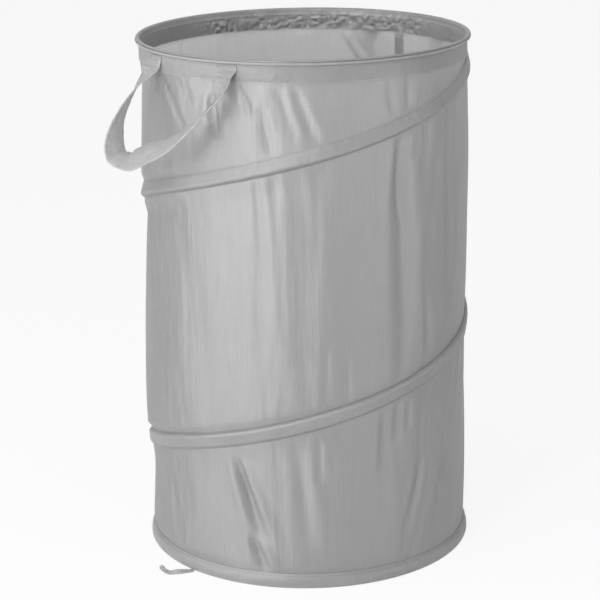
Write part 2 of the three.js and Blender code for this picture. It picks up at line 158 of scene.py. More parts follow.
class HamperStrapSettings(bpy.types.PropertyGroup):
    """Sizes of the handles and ties"""

    width: a_length("Strap Width", "Width of a handle's strap", 25 * MM)
    thickness: a_length("Strap Thickness", "Thickness of a handle's strap", 1.3 * MM)
    gap: a_length("Handle Gap", "Between the middles of a handle's two legs", 0.108)
    drop: a_length("Handle Drop", "From the sewn ends to the bottom of the loop", 0.11)
    front_lean: an_angle(
        "Front Lean", "How far the front handle stands out from hanging down", math.radians(34))
    rear_lean: an_angle(
        "Rear Lean", "How far the rear handle stands out from hanging down", math.radians(14))
    tab_drop: a_length("Sewn End", "Height of a handle's sewn end", 13 * MM)
    tie_width: a_length("Tie Width", "Width of a tie", 8 * MM)
    tie_thickness: a_length("Tie Thickness", "Thickness of a tie", 0.9 * MM)
    tie_reach: a_length("Tie Reach", "How far a tie lies out from the bottom binding", 25 * MM)
    tie_sweep: a_length("Tie Sweep", "How far a tie curves to the side", 29 * MM)
    tie_lift: a_length("Tie Lift", "How far a tie's end stands off the floor", 5 * MM)
    tie_offset: a_length("Tie Offset", "From the handle's middle line to the tie's sewn end", 6.5 * MM)


class HamperColourSettings(bpy.types.PropertyGroup):
    """Colours of the finishes"""

    wall: a_colour("Wall", "Satin wall cloth", (0.45, 0.45, 0.452))
    binding: a_colour("Binding", "Binding tape", (0.42, 0.42, 0.422))
    strap: a_colour("Strap", "Handles and ties", (0.40, 0.40, 0.403))
    # The thread's dark grey is partly its own colour and partly painted shade, standing in for the shade
    # along the stitch lines
    thread: a_colour("Thread", "Sewing thread", (0.22, 0.22, 0.222))
    wire: a_colour("Wire", "Spring wire", (0.45, 0.46, 0.47))
    sleeve: a_colour("Sleeve", "Crimped sleeves", (0.72, 0.73, 0.74))
    tip: a_colour("Tip", "Plastic tips of the coil", (0.03, 0.03, 0.032))


class HamperStageSettings(bpy.types.PropertyGroup):
    """Camera, lamps and floor"""

    view_azimuth: an_angle("View Azimuth", "Side from which the camera looks", math.radians(-47))
    distance: a_length("Distance", "Camera to the drum's axis, along the floor", 2.3282)
    height: a_length("Height", "Camera above the floor", 0.9717)
    pitch: an_angle("Pitch", "How far the camera looks down", 0.2874)
    yaw: an_angle("Yaw", "How far the camera looks aside", 0.0032)
    roll: an_angle("Roll", "How far the camera leans", -0.0144)
    lens: a_number("Lens", "Focal length in millimetres", 123.91, "CAMERA")
    key_power: a_number("Key Power", "Power of the main lamp", 10, "POWER")
    soft_power: a_number("Soft Power", "Power of the large soft lamp", 24, "POWER")
    side_power: a_number("Side Power", "Power of the lamp on the right", 5, "POWER")
    top_power: a_number("Top Power", "Power of the lamp above the camera", 3.5, "POWER")
    fill: a_number("Fill", "Strength of the light from all round", 0.5)


def on_drum(azimuth, radius, height):
    """A point at an angle round the drum from the -Y side towards +X."""
    return Vector((radius * math.sin(azimuth), -radius * math.cos(azimuth), height))


def azimuth_of(point):
    return math.atan2(point.x, -point.y)


def ease(value):
    """Goes smoothly from 0 to 1."""
    value = min(1.0, max(0.0, value))
    return value * value * (3 - 2 * value)


def round_noise(azimuth, height, cells, stretch, seed):
    """Smooth noise round the drum, with that many cells to a turn and no seam."""
    reach = cells / TURN
    return noise.noise(Vector((
        math.sin(azimuth) * reach, math.cos(azimuth) * reach + seed, height * stretch + seed)))


def crease(value, softness):
    """A narrow valley where the noise passes zero, from 1 in the valley to 0 beside it."""
    return 1 / (1 + (value / softness) ** 2)


# Folds that the cloth shows beside its seams: angle in degrees, then in millimetres the height of
# the upper end, the run down, half width, depth and sideways run
PLACED_FOLDS = [(math.radians(place), *(size * MM for size in sizes)) for place, *sizes in (
    (-113, 575, 30, 3, 2.2, 6),
    (-108.5, 575, 24, 2.8, 2.4, 6),
    (-99.5, 575, 22, 2.8, 2.2, 8),
    (-91.5, 575, 30, 3.4, 2, 12),
    (-103.8, 574, 62, 4.2, 3, 42),
    (-95.5, 574, 26, 3, 1.6, 18),
    (-69.2, 574, 44, 3, 2.4, 18),
    (-61.5, 550, 62, 5.2, 2.6, 14),
    (-50.4, 574, 80, 4.8, 2.4, 28),
    (-56, 574, 60, 4, 1.6, 20),
    (-17.9, 574, 45, 3.6, 1.8, 9),
    (-9.2, 576, 52, 3.2, 2.4, 0),
    (-13.1, 512, 95, 5, 3.4, -6),
    (-5.3, 512, 34, 3.4, 2, -7),
    (-12.6, 520, 300, 10.8, 5, 3),
    (13, 560, 300, 8.5, 4.2, -8),
    (-63, 480, 260, 6, 1.4, 6),
    (-46.5, 480, 250, 12, 0.9, -10),
    (-34.5, 290, 90, 4.4, 2, 4),
    (-41, 290, 80, 4, 2, 2),
    (-2, 340, 85, 4.2, 2.4, 4),
    (-73.4, 150, 100, 5.6, 7.8, 34),
    (-67.5, 60, 46, 5.2, 6, 18),
    (-79, 562, 50, 4.8, 6.2, 2),
    (-106.6, 112, 70, 5, 1.8, 18),
    (-76.8, 68, 34, 3.2, 1.8, 10),
    (-51.4, 178, 160, 7, 2.1, 20),
    (-43.2, 178, 56, 3.6, 2.2, 0),
    (-20.1, 204, 90, 4.2, 2.6, -2),
    (-13.6, 208, 52, 3.4, 2.4, -7),
    (-9.2, 206, 34, 3, 2.2, -3),
    (-2.4, 140, 100, 4.6, 2.6, -30),
    (10.6, 138, 105, 4.8, 2.4, -32),
    (117.5, 574, 62, 3.6, 5.5, -42),
)]


def coil_height(azimuth, coil):
    return coil.front_height + coil.pitch * azimuth / TURN


def coil_turns(azimuth, coil):
    """The coil's own angles that lie at this place round the drum."""
    turns = [azimuth + TURN * k for k in range(-2, 3)]
    return [turn for turn in turns if coil.start <= turn <= coil.end]


def panel_at(azimuth, height, coil):
    """Lower and upper seam of the panel of wall that holds a point, or None on a seam."""
    low, high = FOOT_EDGE, RIM_EDGE
    for turn in coil_turns(azimuth, coil):
        wire = coil_height(turn, coil)
        foot, head = wire - coil.lip, min(wire + coil.rise, RIM_EDGE)
        if foot <= height <= head:
            return None
        if head < height:
            low = max(low, head)
        else:
            high = min(high, foot)
    return (low, high) if low < height < high else None


# A placed fold is a valley between two low shoulders, with places across it in its half widths
SHOULDER_AT = 2.1
SHOULDER_SHARE = 0.32
FOLD_ENDS_AT = 6


def placed_fold_depth(azimuth, height, drum):
    depth = 0.0
    for place, top, run, half_width, deep, aside in PLACED_FOLDS:
        share = (top - height) / run
        if not 0 < share < 1:
            continue
        middle = place + aside * share / drum.wall_radius
        across = (azimuth - middle) * drum.wall_radius / half_width
        if abs(across) > FOLD_ENDS_AT:
            continue
        taper = math.sin(math.pi * share ** 0.8) ** 0.7
        across /= 0.75 + 0.6 * share
        valley = math.exp(-across * across)
        shoulder = math.exp(-((abs(across) - SHOULDER_AT) ** 2))
        depth += deep * taper * (valley - SHOULDER_SHARE * shoulder)
    return depth


# Noise for each kind of fold: cells to a turn of the drum, stretch up the wall and seed
GATHER_NOISE = (125, 6, 3.1)
FOLD_NOISE = (52, 3, 7.7)
BILLOW_NOISE = (24, 2.2, 11.3)
WIDE_BILLOW_NOISE = (9, 3.0, 19.9)

# How far gathers and folds reach below the upper seam and above the lower one
GATHER_REACHES = (26 * MM, 18 * MM)
FOLD_REACHES = (95 * MM, 60 * MM)

# How far from a seam the stitches hold the cloth, and the most that it stands out past the seams
SEAM_HOLD = 7 * MM
PROUDEST = 8 * MM

# How far above a seam and below the next a sag sets in, and how strongly it draws in higher up
SAG_SETS_IN = (10 * MM, 22 * MM)
SAG_TURNOVER = 1.78


def wall_inset(azimuth, height, drum, coil):
    """How far the wall lies inside its own radius at a place."""
    panel = panel_at(azimuth, height, coil)
    if panel is None:
        return 0.0
    low, high = panel
    span = high - low
    above, below = high - height, height - low
    share = below / span
    slack = min(1.0, span / (0.9 * coil.pitch))
    bow = math.sin(math.pi * share)
    lean = -drum.fold_lean * math.sin(azimuth - drum.fold_meeting)
    shifted = azimuth - lean * above / drum.wall_radius
    held = ease(min(above, below) / SEAM_HOLD)
    near = math.exp(-above / GATHER_REACHES[0]) + 0.7 * math.exp(-below / GATHER_REACHES[1])
    gather = crease(round_noise(shifted, height, *GATHER_NOISE), 0.28) - 0.45
    middle = math.exp(-above / FOLD_REACHES[0]) + 0.5 * math.exp(-below / FOLD_REACHES[1])
    fold = crease(round_noise(shifted, height, *FOLD_NOISE), 0.24) - 0.35
    broad = round_noise(shifted, height, *BILLOW_NOISE)
    wide = round_noise(azimuth, height, *WIDE_BILLOW_NOISE)
    slackest = (0.5 + 0.5 * math.cos(azimuth - drum.sag_azimuth)) ** 1.5
    sagging = ease(below / SAG_SETS_IN[0]) * ease(above / SAG_SETS_IN[1]) * slack * slackest
    inset = drum.waist * (1 - slack) * bow - drum.bulge * slack * bow ** 0.5
    inset -= sagging * drum.sag * (1 - SAG_TURNOVER * share)
    inset += held * drum.gather_depth * near * gather
    inset += held * drum.fold_depth * slack * middle * fold
    inset += held * drum.billow_depth * slack * bow ** 0.6 * (broad + 0.8 * wide)
    inset += held * placed_fold_depth(azimuth, height, drum)
    return max(inset, -PROUDEST * held)


# The lap of cloth at the side seam stands a little proud
LAP_RISE = 0.35 * MM


def seam_rise(azimuth, drum):
    away = (azimuth - drum.seam_azimuth + math.pi) % TURN - math.pi
    reach = drum.seam_tape_width / (2 * drum.wall_radius)
    return LAP_RISE * ease((reach - abs(away)) / (0.15 * reach))


def wall_face(azimuth, height, drum, coil):
    return drum.wall_radius - wall_inset(azimuth, height, drum, coil) + seam_rise(azimuth, drum)


def crumple(place, cell):
    """Creased cloth: flat facets that meet in sharp folds, round zero, with cells of that size."""
    coarse = abs(noise.noise(place / cell))
    fine = abs(noise.noise(place / (0.45 * cell) + Vector((7, 3, 5))))
    return 0.9 - 2.6 * coarse - 1.1 * fine


# The hem's inner face is crumpled round this place, until the cosine of the way round has fallen so far
CRUMPLED_AZIMUTH = math.radians(127)
CRUMPLED_END = 0.64
CRUMPLED_FADE = 0.14

# Radius on which the hem's creases are laid out, and the size of their cells inside and outside
PUCKER_RADIUS = 0.19
INNER_CREASE, OUTER_CREASE = 11 * MM, 13 * MM

# Noise for the puckers across the hem and for how much of it is gathered
HEM_PUCKER_NOISE = (210, 40)
GATHERED_NOISE = (16, 1)


def rim_pucker(azimuth, height, share, depth, seed, inside):
    """Puckers of a stitched tape: share runs from 0 at the stitched edge to 1 at the ridge."""
    place = on_drum(azimuth, PUCKER_RADIUS, height * 1.25) + Vector((seed, 0, 0))
    gathered = 0.55 + 1.3 * max(0.0, round_noise(azimuth, 0, *GATHERED_NOISE, seed + 9))
    across = crease(round_noise(azimuth, height, *HEM_PUCKER_NOISE, seed), 0.25) - 0.4
    if inside:
        near = math.cos(azimuth - CRUMPLED_AZIMUTH) - CRUMPLED_END
        loose = 0.25 + 0.75 * ease(near / CRUMPLED_FADE)
        return loose * depth * (0.5 + 0.8 * gathered) * (2.3 * crumple(place, INNER_CREASE) + 0.9 * across)
    where = 0.5 + 0.5 * ease(1 - share * 0.9)
    return depth * gathered * where * (0.5 * crumple(place, OUTER_CREASE) + 0.9 * across)


def coil_pucker(turn, up, depth):
    fine = crease(noise.noise(Vector((turn * 52, up / (9 * MM), 2.2))), 0.3) - 0.4
    coarse = crease(noise.noise(Vector((turn * 19, up / (14 * MM), 8.8))), 0.22) - 0.35
    gathered = 0.5 + 1.2 * max(0.0, noise.noise(Vector((turn * 3.1, 0, 4.4))))
    return depth * gathered * (0.7 * fine + 1.0 * coarse)


def strand(bm, points):
    """Joins points by edges in a row and returns what was made."""
    verts = [bm.verts.new(point) for point in points]
    edges = [bm.edges.new(pair) for pair in zip(verts, verts[1:])]
    return verts, edges


def closed_strand(bm, points):
    verts, edges = strand(bm, points)
    edges.append(bm.edges.new((verts[-1], verts[0])))
    return verts, edges


def spun(bm, geometry, angle, blocks, steps, climb=0.0):
    """Turns geometry about the drum's axis, climbing evenly: one block of steps is spun, copied
    on round and welded, which also closes a full level turn."""
    part = angle / blocks
    bmesh.ops.spin(
        bm, geom=geometry, cent=(0, 0, 0), axis=(0, 0, 1), dvec=(0, 0, climb / (blocks * steps)),
        angle=part, steps=steps, use_merge=False)
    first = bm.verts[:] + bm.edges[:] + bm.faces[:]
    for block in range(1, blocks):
        copy = bmesh.ops.duplicate(bm, geom=first)["geom"]
        verts = [item for item in copy if isinstance(item, bmesh.types.BMVert)]
        matrix = Matrix.Rotation(part * block, 4, "Z")
        matrix.translation.z = climb * block / blocks
        bmesh.ops.transform(bm, matrix=matrix, verts=verts)
    bmesh.ops.remove_doubles(bm, verts=bm.verts[:], dist=0.001 * MM)


def cap_ends(bm):
    rims = [edge for edge in bm.edges if edge.is_boundary]
    bmesh.ops.holes_fill(bm, edges=rims, sides=0)


def arc_points(centre_out, centre_up, radius, start, stop, steps):
    """Points of an arc in the plane of radius and height, angles in degrees."""
    angles = [math.radians(start + (stop - start) * k / steps) for k in range(steps + 1)]
    return [(centre_out + radius * math.cos(a), centre_up + radius * math.sin(a)) for a in angles]


def line_points(out_a, up_a, out_b, up_b, steps):
    """Points from one place to another, without the last."""
    return [
        (out_a + (out_b - out_a) * k / steps, up_a + (up_b - up_a) * k / steps) for k in range(steps)]


def add_uv(bm, place_of):
    """A map in metres, with place_of giving each vertex's place on the cloth."""
    layer = bm.loops.layers.uv.new(UV_NAME)
    for face in bm.faces:
        for loop in face.loops:
            loop[layer].uv = place_of(loop.vert)


def add_round_uv(bm, radius):
    """A map in metres: the way round the drum, and the height."""
    layer = bm.loops.layers.uv.new(UV_NAME)
    for face in bm.faces:
        middle = azimuth_of(face.calc_center_median())
        for loop in face.loops:
            away = (azimuth_of(loop.vert.co) - middle + math.pi) % TURN - math.pi
            loop[layer].uv = ((middle + away) * radius, loop.vert.co.z)


def shaped_strip(across_steps, along_steps, width, length, place_at, turn=Matrix.Identity(4)):
    """A strip of cloth: place_at takes a share across, from -0.5 to 0.5, and one along, from 0 to 1."""
    bm = bmesh.new()
    bmesh.ops.create_grid(bm, x_segments=across_steps, y_segments=along_steps, size=0.5)
    bmesh.ops.translate(bm, verts=bm.verts[:], vec=(0, 0.5, 0))
    add_uv(bm, lambda vert: (vert.co.x * width, vert.co.y * length))
    for vert in bm.verts:
        vert.co = place_at(vert.co.x, vert.co.y)
    bmesh.ops.transform(bm, matrix=turn, verts=bm.verts[:])
    return bm


def make_piece(name, bm, material, sharp=50):
    """Turns a bmesh into a finished object at the origin."""
    bmesh.ops.recalc_face_normals(bm, faces=bm.faces[:])
    mesh = bpy.data.meshes.new(name)
    bm.to_mesh(mesh)
    bm.free()
    mesh.shade_smooth()
    mesh.set_sharp_from_angle(angle=math.radians(sharp))
    piece = bpy.data.objects.new(name, mesh)
    bpy.context.scene.collection.objects.link(piece)
    mesh.materials.append(material)
    return piece


def thicken(piece, thickness, offset):
    solid = piece.modifiers.new("Thickness", "SOLIDIFY")
    solid.thickness = thickness
    solid.offset = offset
    solid.use_even_offset = False
    return solid


def folds_with_drum(piece):
    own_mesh(piece)


# Most of a noise lies between these
NOISE_LOW, NOISE_HIGH = 0.3, 0.7


class Nodes:
    """Builds the nodes of a material or of the world."""

    def __init__(self, owner, output):
        owner.use_nodes = True
        self.tree = owner.node_tree
        self.tree.nodes.clear()
        self.surface = self.tree.nodes.new(output).inputs["Surface"]

    def fill(self, socket, value):
        """Gives a socket a link or a number."""
        if isinstance(value, bpy.types.NodeSocket):
            self.tree.links.new(value, socket)
        else:
            socket.default_value = value

    def add(self, kind, result, inputs, **settings):
        """Adds a node with its inputs filled, and returns the output of that name."""
        node = self.tree.nodes.new(kind)
        for name, value in settings.items():
            setattr(node, name, value)
        for name, value in inputs.items():
            self.fill(node.inputs[name], value)
        return node.outputs[result]

    def math(self, operation, first, second):
        return self.add("ShaderNodeMath", "Value", {0: first, 1: second}, operation=operation)

    def span(self, value, to_low, to_high, low=NOISE_LOW, high=NOISE_HIGH):
        return self.add("ShaderNodeMapRange", "Result", {
            "Value": value, "From Min": low, "From Max": high, "To Min": to_low, "To Max": to_high})


class Finish(Nodes):
    """Builds one material round a Principled shader."""

    def __init__(self, name):
        self.material = bpy.data.materials.get(name) or bpy.data.materials.new(name)
        super().__init__(self.material, "ShaderNodeOutputMaterial")
        self.shader = self.tree.nodes.new("ShaderNodeBsdfPrincipled")
        self.fill(self.surface, self.shader.outputs["BSDF"])

    def set(self, **values):
        for name, value in values.items():
            self.fill(self.shader.inputs[name.replace("_", " ")], value)

    def on_cloth(self, *scale):
        place = self.add("ShaderNodeUVMap", "UV", {}, uv_map=UV_NAME)
        return self.add("ShaderNodeMapping", "Vector", {"Vector": place, "Scale": scale})

    def on_object(self, *scale):
        place = self.add("ShaderNodeTexCoord", "Object", {})
        return self.add("ShaderNodeMapping", "Vector", {"Vector": place, "Scale": scale})

    def noise(self, place, scale, detail, rough=0.5, distortion=0.0):
        return self.add("ShaderNodeTexNoise", "Fac", {
            "Vector": place, "Scale": scale, "Detail": detail, "Roughness": rough,
            "Distortion": distortion})

    def threads(self, place, spacing, direction):
        """Fine parallel threads across a map in metres."""
        return self.add(
            "ShaderNodeTexWave", "Fac",
            {"Vector": place, "Scale": TURN / (20 * spacing), "Distortion": 0.4, "Detail": 1.0},
            wave_type="BANDS", bands_direction=direction)

    def tinted(self, colour, amount):
        """The colour, made lighter or darker by a value round 1."""
        return self.add("ShaderNodeVectorMath", "Vector", {0: colour, "Scale": amount}, operation="SCALE")

    def bump(self, height, distance, strength, below=None):
        inputs = {"Height": height, "Distance": distance, "Strength": strength}
        if below is not None:
            inputs["Normal"] = below
        return self.add("ShaderNodeBump", "Normal", inputs)


def cloth_finish(name, colour, rough, crinkle, long_folds=0.0, thread=0.55 * MM, shine=0.9, stretch=0.0,
                 lustre=0.0, painted_shade_patches=0.04):
    """Woven cloth: fine threads, uneven yarn, soft crinkles, shine, and soft cloudy patches of painted shade
    that stand in for the shade of wrinkles and of light through the cloth. Stretch draws the highlights out
    along the drum, and lustre is the satin's metal-like gloss."""
    finish = Finish(name)
    finish.set(
        Sheen_Weight=0.12, Sheen_Roughness=0.4, Specular_IOR_Level=shine, IOR=1.7,
        Subsurface_Weight=1.0, Subsurface_Scale=5 * MM, Subsurface_Radius=(1, 1, 1),
        Anisotropic=stretch, Anisotropic_Rotation=0.25, Metallic=lustre)
    cloth = finish.on_cloth(1, 1, 1)
    warp = finish.threads(cloth, thread, "X")
    weft = finish.threads(cloth, thread * 1.25, "Y")
    weave = finish.math("MULTIPLY", warp, weft)
    yarn = finish.noise(finish.on_cloth(620, 26, 1), scale=1, detail=2)
    cross_yarn = finish.noise(finish.on_cloth(22, 540, 1), scale=1, detail=2)
    shade_and_gloss_cloud = finish.noise(finish.on_object(1, 1, 1), scale=11, detail=4, rough=0.55)
    creases = finish.noise(finish.on_object(1, 1, 0.55), scale=62, detail=4, distortion=0.8)
    hang = finish.noise(finish.on_object(1, 1, 0.17), scale=30, detail=3, distortion=0.6)
    streak = finish.noise(finish.on_object(1, 1, 0.09), scale=88, detail=2, rough=0.45, distortion=0.3)
    # The colour's tone: the weave and yarn are the cloth's own, and the cloud's soft patches are painted
    # shade
    tone_and_painted_shade = finish.span(weave, 0.985, 1.02, 0.0, 1.0)
    for marks, change in ((yarn, 0.03), (cross_yarn, 0.02), (shade_and_gloss_cloud, painted_shade_patches)):
        tone_and_painted_shade = finish.math("ADD", tone_and_painted_shade, finish.span(marks, -change, change))
    normal = finish.bump(creases, 1.6 * MM, crinkle)
    if long_folds:
        normal = finish.bump(hang, 5 * MM, long_folds, normal)
        normal = finish.bump(streak, 1.5 * MM, long_folds, normal)
    normal = finish.bump(yarn, 0.12 * MM, 0.5, normal)
    normal = finish.bump(weave, 0.1 * MM, 0.6, normal)
    finish.set(
        Base_Color=finish.tinted(colour, tone_and_painted_shade), Normal=normal,
        Roughness=finish.span(shade_and_gloss_cloud, rough - 0.05, rough + 0.06, 0.25, 0.75))
    return finish.material


def thread_finish(colour):
    """Twisted sewing thread."""
    finish = Finish("sewing_thread")
    twist = finish.noise(finish.on_object(1, 1, 1), scale=2400, detail=2)
    finish.set(
        Base_Color=finish.tinted(colour, finish.span(twist, 0.8, 1.2)), Roughness=0.6,
        Normal=finish.bump(twist, 0.2 * MM, 0.5))
    return finish.material


def metal_finish(name, colour, rough, stretch):
    """Drawn or crimped metal with fine marks."""
    finish = Finish(name)
    marks = finish.noise(finish.on_object(*stretch), scale=1, detail=4, rough=0.6)
    finish.set(
        Base_Color=finish.tinted(colour, finish.span(marks, 0.85, 1.12)), Metallic=1.0,
        Roughness=finish.span(marks, rough - 0.06, rough + 0.1),
        Normal=finish.bump(marks, 0.05 * MM, 0.4))
    return finish.material


def tip_finish(colour):
    """Moulded plastic with a faint grain."""
    finish = Finish("moulded_tip")
    grain = finish.noise(finish.on_object(1, 1, 1), scale=1500, detail=2)
    finish.set(
        Base_Color=finish.tinted(colour, finish.span(grain, 0.85, 1.2)),
        Roughness=finish.span(grain, 0.4, 0.52), Normal=finish.bump(grain, 0.1 * MM, 0.4))
    return finish.material


def wire_finish(colours):
    return metal_finish("drawn_spring_wire", colours.wire, rough=0.3, stretch=(300, 300, 900))


def wall_cloth(colours):
    return cloth_finish(
        "satin_wall_cloth", colours.wall, rough=0.46, crinkle=0.25, long_folds=0.45, stretch=0.8,
        lustre=0.45)


def wall_back(colours):
    return cloth_finish(
        "matt_wall_back", colours.wall, rough=0.6, crinkle=0.25, long_folds=0.45, shine=0.4)


def base_cloth(colours):
    return cloth_finish("plain_base_cloth", colours.wall, rough=0.55, crinkle=0.3)


def binding_cloth(colours):
    # Its stronger patches are painted shade, standing in for the shade among the binding's puckers
    return cloth_finish(
        "binding_tape", colours.binding, rough=0.36, crinkle=0.6, thread=0.5 * MM, painted_shade_patches=0.1)


def strap_cloth(colours):
    return cloth_finish(
        "strap_cloth", colours.strap, rough=0.42, crinkle=0.4, thread=0.6 * MM, shine=0.7)


# Blocks that a turn of the wall or base is spun in, and a turn of a binding
DRUM_BLOCKS = 12
BINDING_BLOCKS = 36


class HAMPER_OT_wall(bpy.types.Operator):
    """Builds the cloth wall with its gathers, folds and waists"""

    bl_idname = "hamper.wall"
    bl_label = "Cloth Wall"

    def execute(self, context):
        scene = context.scene
        drum, coil = scene.hamper_drum, scene.hamper_coil
        bm = bmesh.new()
        rise = (drum.wall_head - drum.wall_foot) / drum.rows
        column = [on_drum(0, drum.wall_radius, drum.wall_foot + rise * k) for k in range(drum.rows + 1)]
        verts, edges = strand(bm, column)
        spun(bm, verts + edges, TURN, DRUM_BLOCKS, drum.columns // DRUM_BLOCKS)
        for vert in bm.verts:
            azimuth = azimuth_of(vert.co)
            vert.co = on_drum(azimuth, wall_face(azimuth, vert.co.z, drum, coil), vert.co.z)
        add_round_uv(bm, drum.wall_radius)
        piece = make_piece("drum_wall", bm, wall_cloth(scene.hamper_colours), 180)
        piece.data.materials.append(wall_back(scene.hamper_colours))
        thicken(piece, drum.cloth_thickness, -1).material_offset = 1
        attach(piece, "base")
        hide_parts("wall_fabric")
        folds_with_drum(piece)
        return {"FINISHED"}


BASE_CLEARANCE = 0.4 * MM
BASE_UNDERSIDE = 0.9 * MM
BASE_BEND = 4 * MM
BASE_THICKNESS = 0.5 * MM


class HAMPER_OT_base(bpy.types.Operator):
    """Builds the round cloth base with its turned-up rim"""

    bl_idname = "hamper.base"
    bl_label = "Cloth Base"

    def execute(self, context):
        scene = context.scene
        reach, top = BASE_HIGH.x - BASE_CLEARANCE, BASE_HIGH.z
        level = reach - BASE_BEND
        upright = BASE_UNDERSIDE + BASE_BEND
        profile = [(0.0, BASE_UNDERSIDE)]
        profile += line_points(2 * MM, BASE_UNDERSIDE, level, BASE_UNDERSIDE, 44)
        profile += arc_points(level, upright, BASE_BEND, -90, 0, 5)
        profile += [(reach, upright + (top - upright) * share) for share in (0.35, 0.7, 1.0)]
        bm = bmesh.new()
        verts, edges = strand(bm, [on_drum(0, out, up) for out, up in profile])
        spun(bm, verts + edges, TURN, DRUM_BLOCKS, 20)
        for vert in bm.verts:
            vert.co.z += self.ripple(vert.co, reach)
        add_uv(bm, lambda vert: vert.co.xy)
        piece = make_piece("base_cloth", bm, base_cloth(scene.hamper_colours))
        thicken(piece, BASE_THICKNESS, 0)
        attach(piece, "base")
        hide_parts("base_panel")
        return {"FINISHED"}

    def ripple(self, place, reach):
        """Soft waves over the middle and small gathers beside the rim."""
        out = math.hypot(place.x, place.y)
        flat = ease((reach - BASE_BEND - out) / (30 * MM))
        soft = noise.noise(place * 13) + 0.6 * noise.noise(place * 34)
        gather = crease(round_noise(azimuth_of(place), 0, 90, 1, 2.5), 0.3) - 0.4
        edge = math.exp(-((out - reach + 9 * MM) / (11 * MM)) ** 2)
        return 0.9 * MM * flat * max(-0.35, soft) + 0.6 * MM * edge * max(0.0, gather)


# The top binding has a stitched step at the neck below its ridge: places out from its outer face
# and up from the neck
NECK = 4.2 * MM
NECK_STEP = (
    (0.0, -1.6 * MM), (0.35 * MM, -1.1 * MM), (0.45 * MM, -0.4 * MM), (0.1 * MM, 0.3 * MM),
    (0.75 * MM, 0.9 * MM),
)

# Rows of stitches: up or down from a binding's edge, and below the middle of the top one's ridge
SEWN_IN = 2.0 * MM
SECOND_ROW = 5.2 * MM
GROOVE_DEPTH = 0.35 * MM
GROOVE_REACH = 0.7 * MM


def sewn_rows(skirt, upwards):
    """How far the rows of stitches lie from a binding's edge."""
    return (SEWN_IN, skirt - SECOND_ROW) if upwards else (SEWN_IN,)


def binding_jobs(radius):
    """Each binding's name, node, body, height of its ridge, stitched edge and whether it is the top one."""
    return (
        ("rim", "top_hem", "top", HAMPER_HEIGHT - radius, RIM_EDGE, True),
        ("foot", "bottom_hem", "base", radius, FOOT_EDGE, False),
    )


def full_swell(share):
    return 1 - (1 - share) ** 2.4


def binding_profile(binding, skirt, full):
    """A binding's cross-section as one closed loop of places out and up from the ridge's middle:
    outer skirt, ridge over the hoop and inner skirt. A full one swells evenly down to its
    stitched edge, and one that isn't has a second line of stitching below the ridge."""
    radius, tape = binding.channel_radius, binding.tape_thickness
    middle = RIDGE_RADIUS - radius
    outer, inner = RIDGE_RADIUS - binding.outer_face, RIDGE_RADIUS - binding.inner_face
    if full:
        swell = middle + radius - outer
        shares = [k / 14 for k in range(14)]
        skin = [(outer + swell * full_swell(share), -skirt + skirt * share) for share in shares]
    else:
        skin = line_points(outer, -skirt, outer, NECK_STEP[0][1] - NECK, 11)
        skin += [(outer + out, up - NECK) for out, up in NECK_STEP]
    points = skin[:]
    for degrees in range(0 if full else -38, 197, 13):
        groove = 0 if full else 0.22 * math.exp(-((degrees - 22) / 12) ** 2)
        along, up = math.cos(math.radians(degrees)), math.sin(math.radians(degrees))
        points.append((middle + radius * (1 - groove) * along, radius * (1 - groove) * up))
    points += line_points(inner, -NECK, inner, -skirt, 13)
    points += [(inner, -skirt), (inner + tape, -skirt)]
    points += line_points(inner + tape, -skirt + MM, inner + tape, -NECK, 5)
    points += arc_points(middle, 0, radius - tape, 196, 0, 8)
    points += [(out - tape, up) for out, up in reversed(skin)]
    return points


def binding_shift(azimuth, height, edge, skirt, binding, upwards, inside):
    """How far a binding's puckers move it out from the drum's axis."""
    away = abs(height - edge)
    share = away / skirt
    free = 1 - ease((share - 0.66) / 0.3)
    calm, seed = (1.0, 1.7) if upwards else (0.4, 6.3)
    shift = calm * rim_pucker(azimuth, height, share, binding.pucker, seed, inside) * free
    groove = sum(math.exp(-((away - row) / GROOVE_REACH) ** 2) for row in sewn_rows(skirt, upwards))
    return shift + (GROOVE_DEPTH if inside else -GROOVE_DEPTH) * groove


class HAMPER_OT_bindings(bpy.types.Operator):
    """Builds the top and bottom bindings"""

    bl_idname = "hamper.bindings"
    bl_label = "Bindings"

    def execute(self, context):
        scene = context.scene
        for job in binding_jobs(scene.hamper_binding.channel_radius):
            piece = self.build(scene, *job)
        return {"FINISHED"}

    def build(self, scene, name, node, body, ridge, edge, upwards):
        """Spins a binding's cross-section round the drum and puckers it along its stitching."""
        binding = scene.hamper_binding
        skirt = abs(ridge - edge)
        bm = bmesh.new()
        sense = 1 if upwards else -1
        profile = binding_profile(binding, skirt, not upwards)
        verts, edges = closed_strand(bm, [on_drum(0, out, ridge + sense * up) for out, up in profile])
        spun(bm, verts + edges, TURN, BINDING_BLOCKS, binding.columns // BINDING_BLOCKS)
        halfway = RIDGE_RADIUS - 0.5 * (binding.outer_face + binding.inner_face)
        for vert in bm.verts:
            azimuth, height = azimuth_of(vert.co), vert.co.z
            out = math.hypot(vert.co.x, vert.co.y)
            shift = binding_shift(azimuth, height, edge, skirt, binding, upwards, out < halfway)
            low = ease(1 - 4 * abs(height - edge) / skirt)
            wave = 0.4 * MM * round_noise(azimuth, 0, 90, 1, 4.0) * low
            vert.co = on_drum(azimuth, out + shift, height + wave)
        add_round_uv(bm, RIDGE_RADIUS)
        piece = make_piece(f"{name}_binding", bm, binding_cloth(scene.hamper_colours))
        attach(piece, body)
        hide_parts(node)
        return piece


def strip_fullness(turn):
    """How far the strip is of the lower turn's kind: 1 there and 0 on the upper turn."""
    return 1 - ease((turn - math.radians(120)) / math.radians(120))


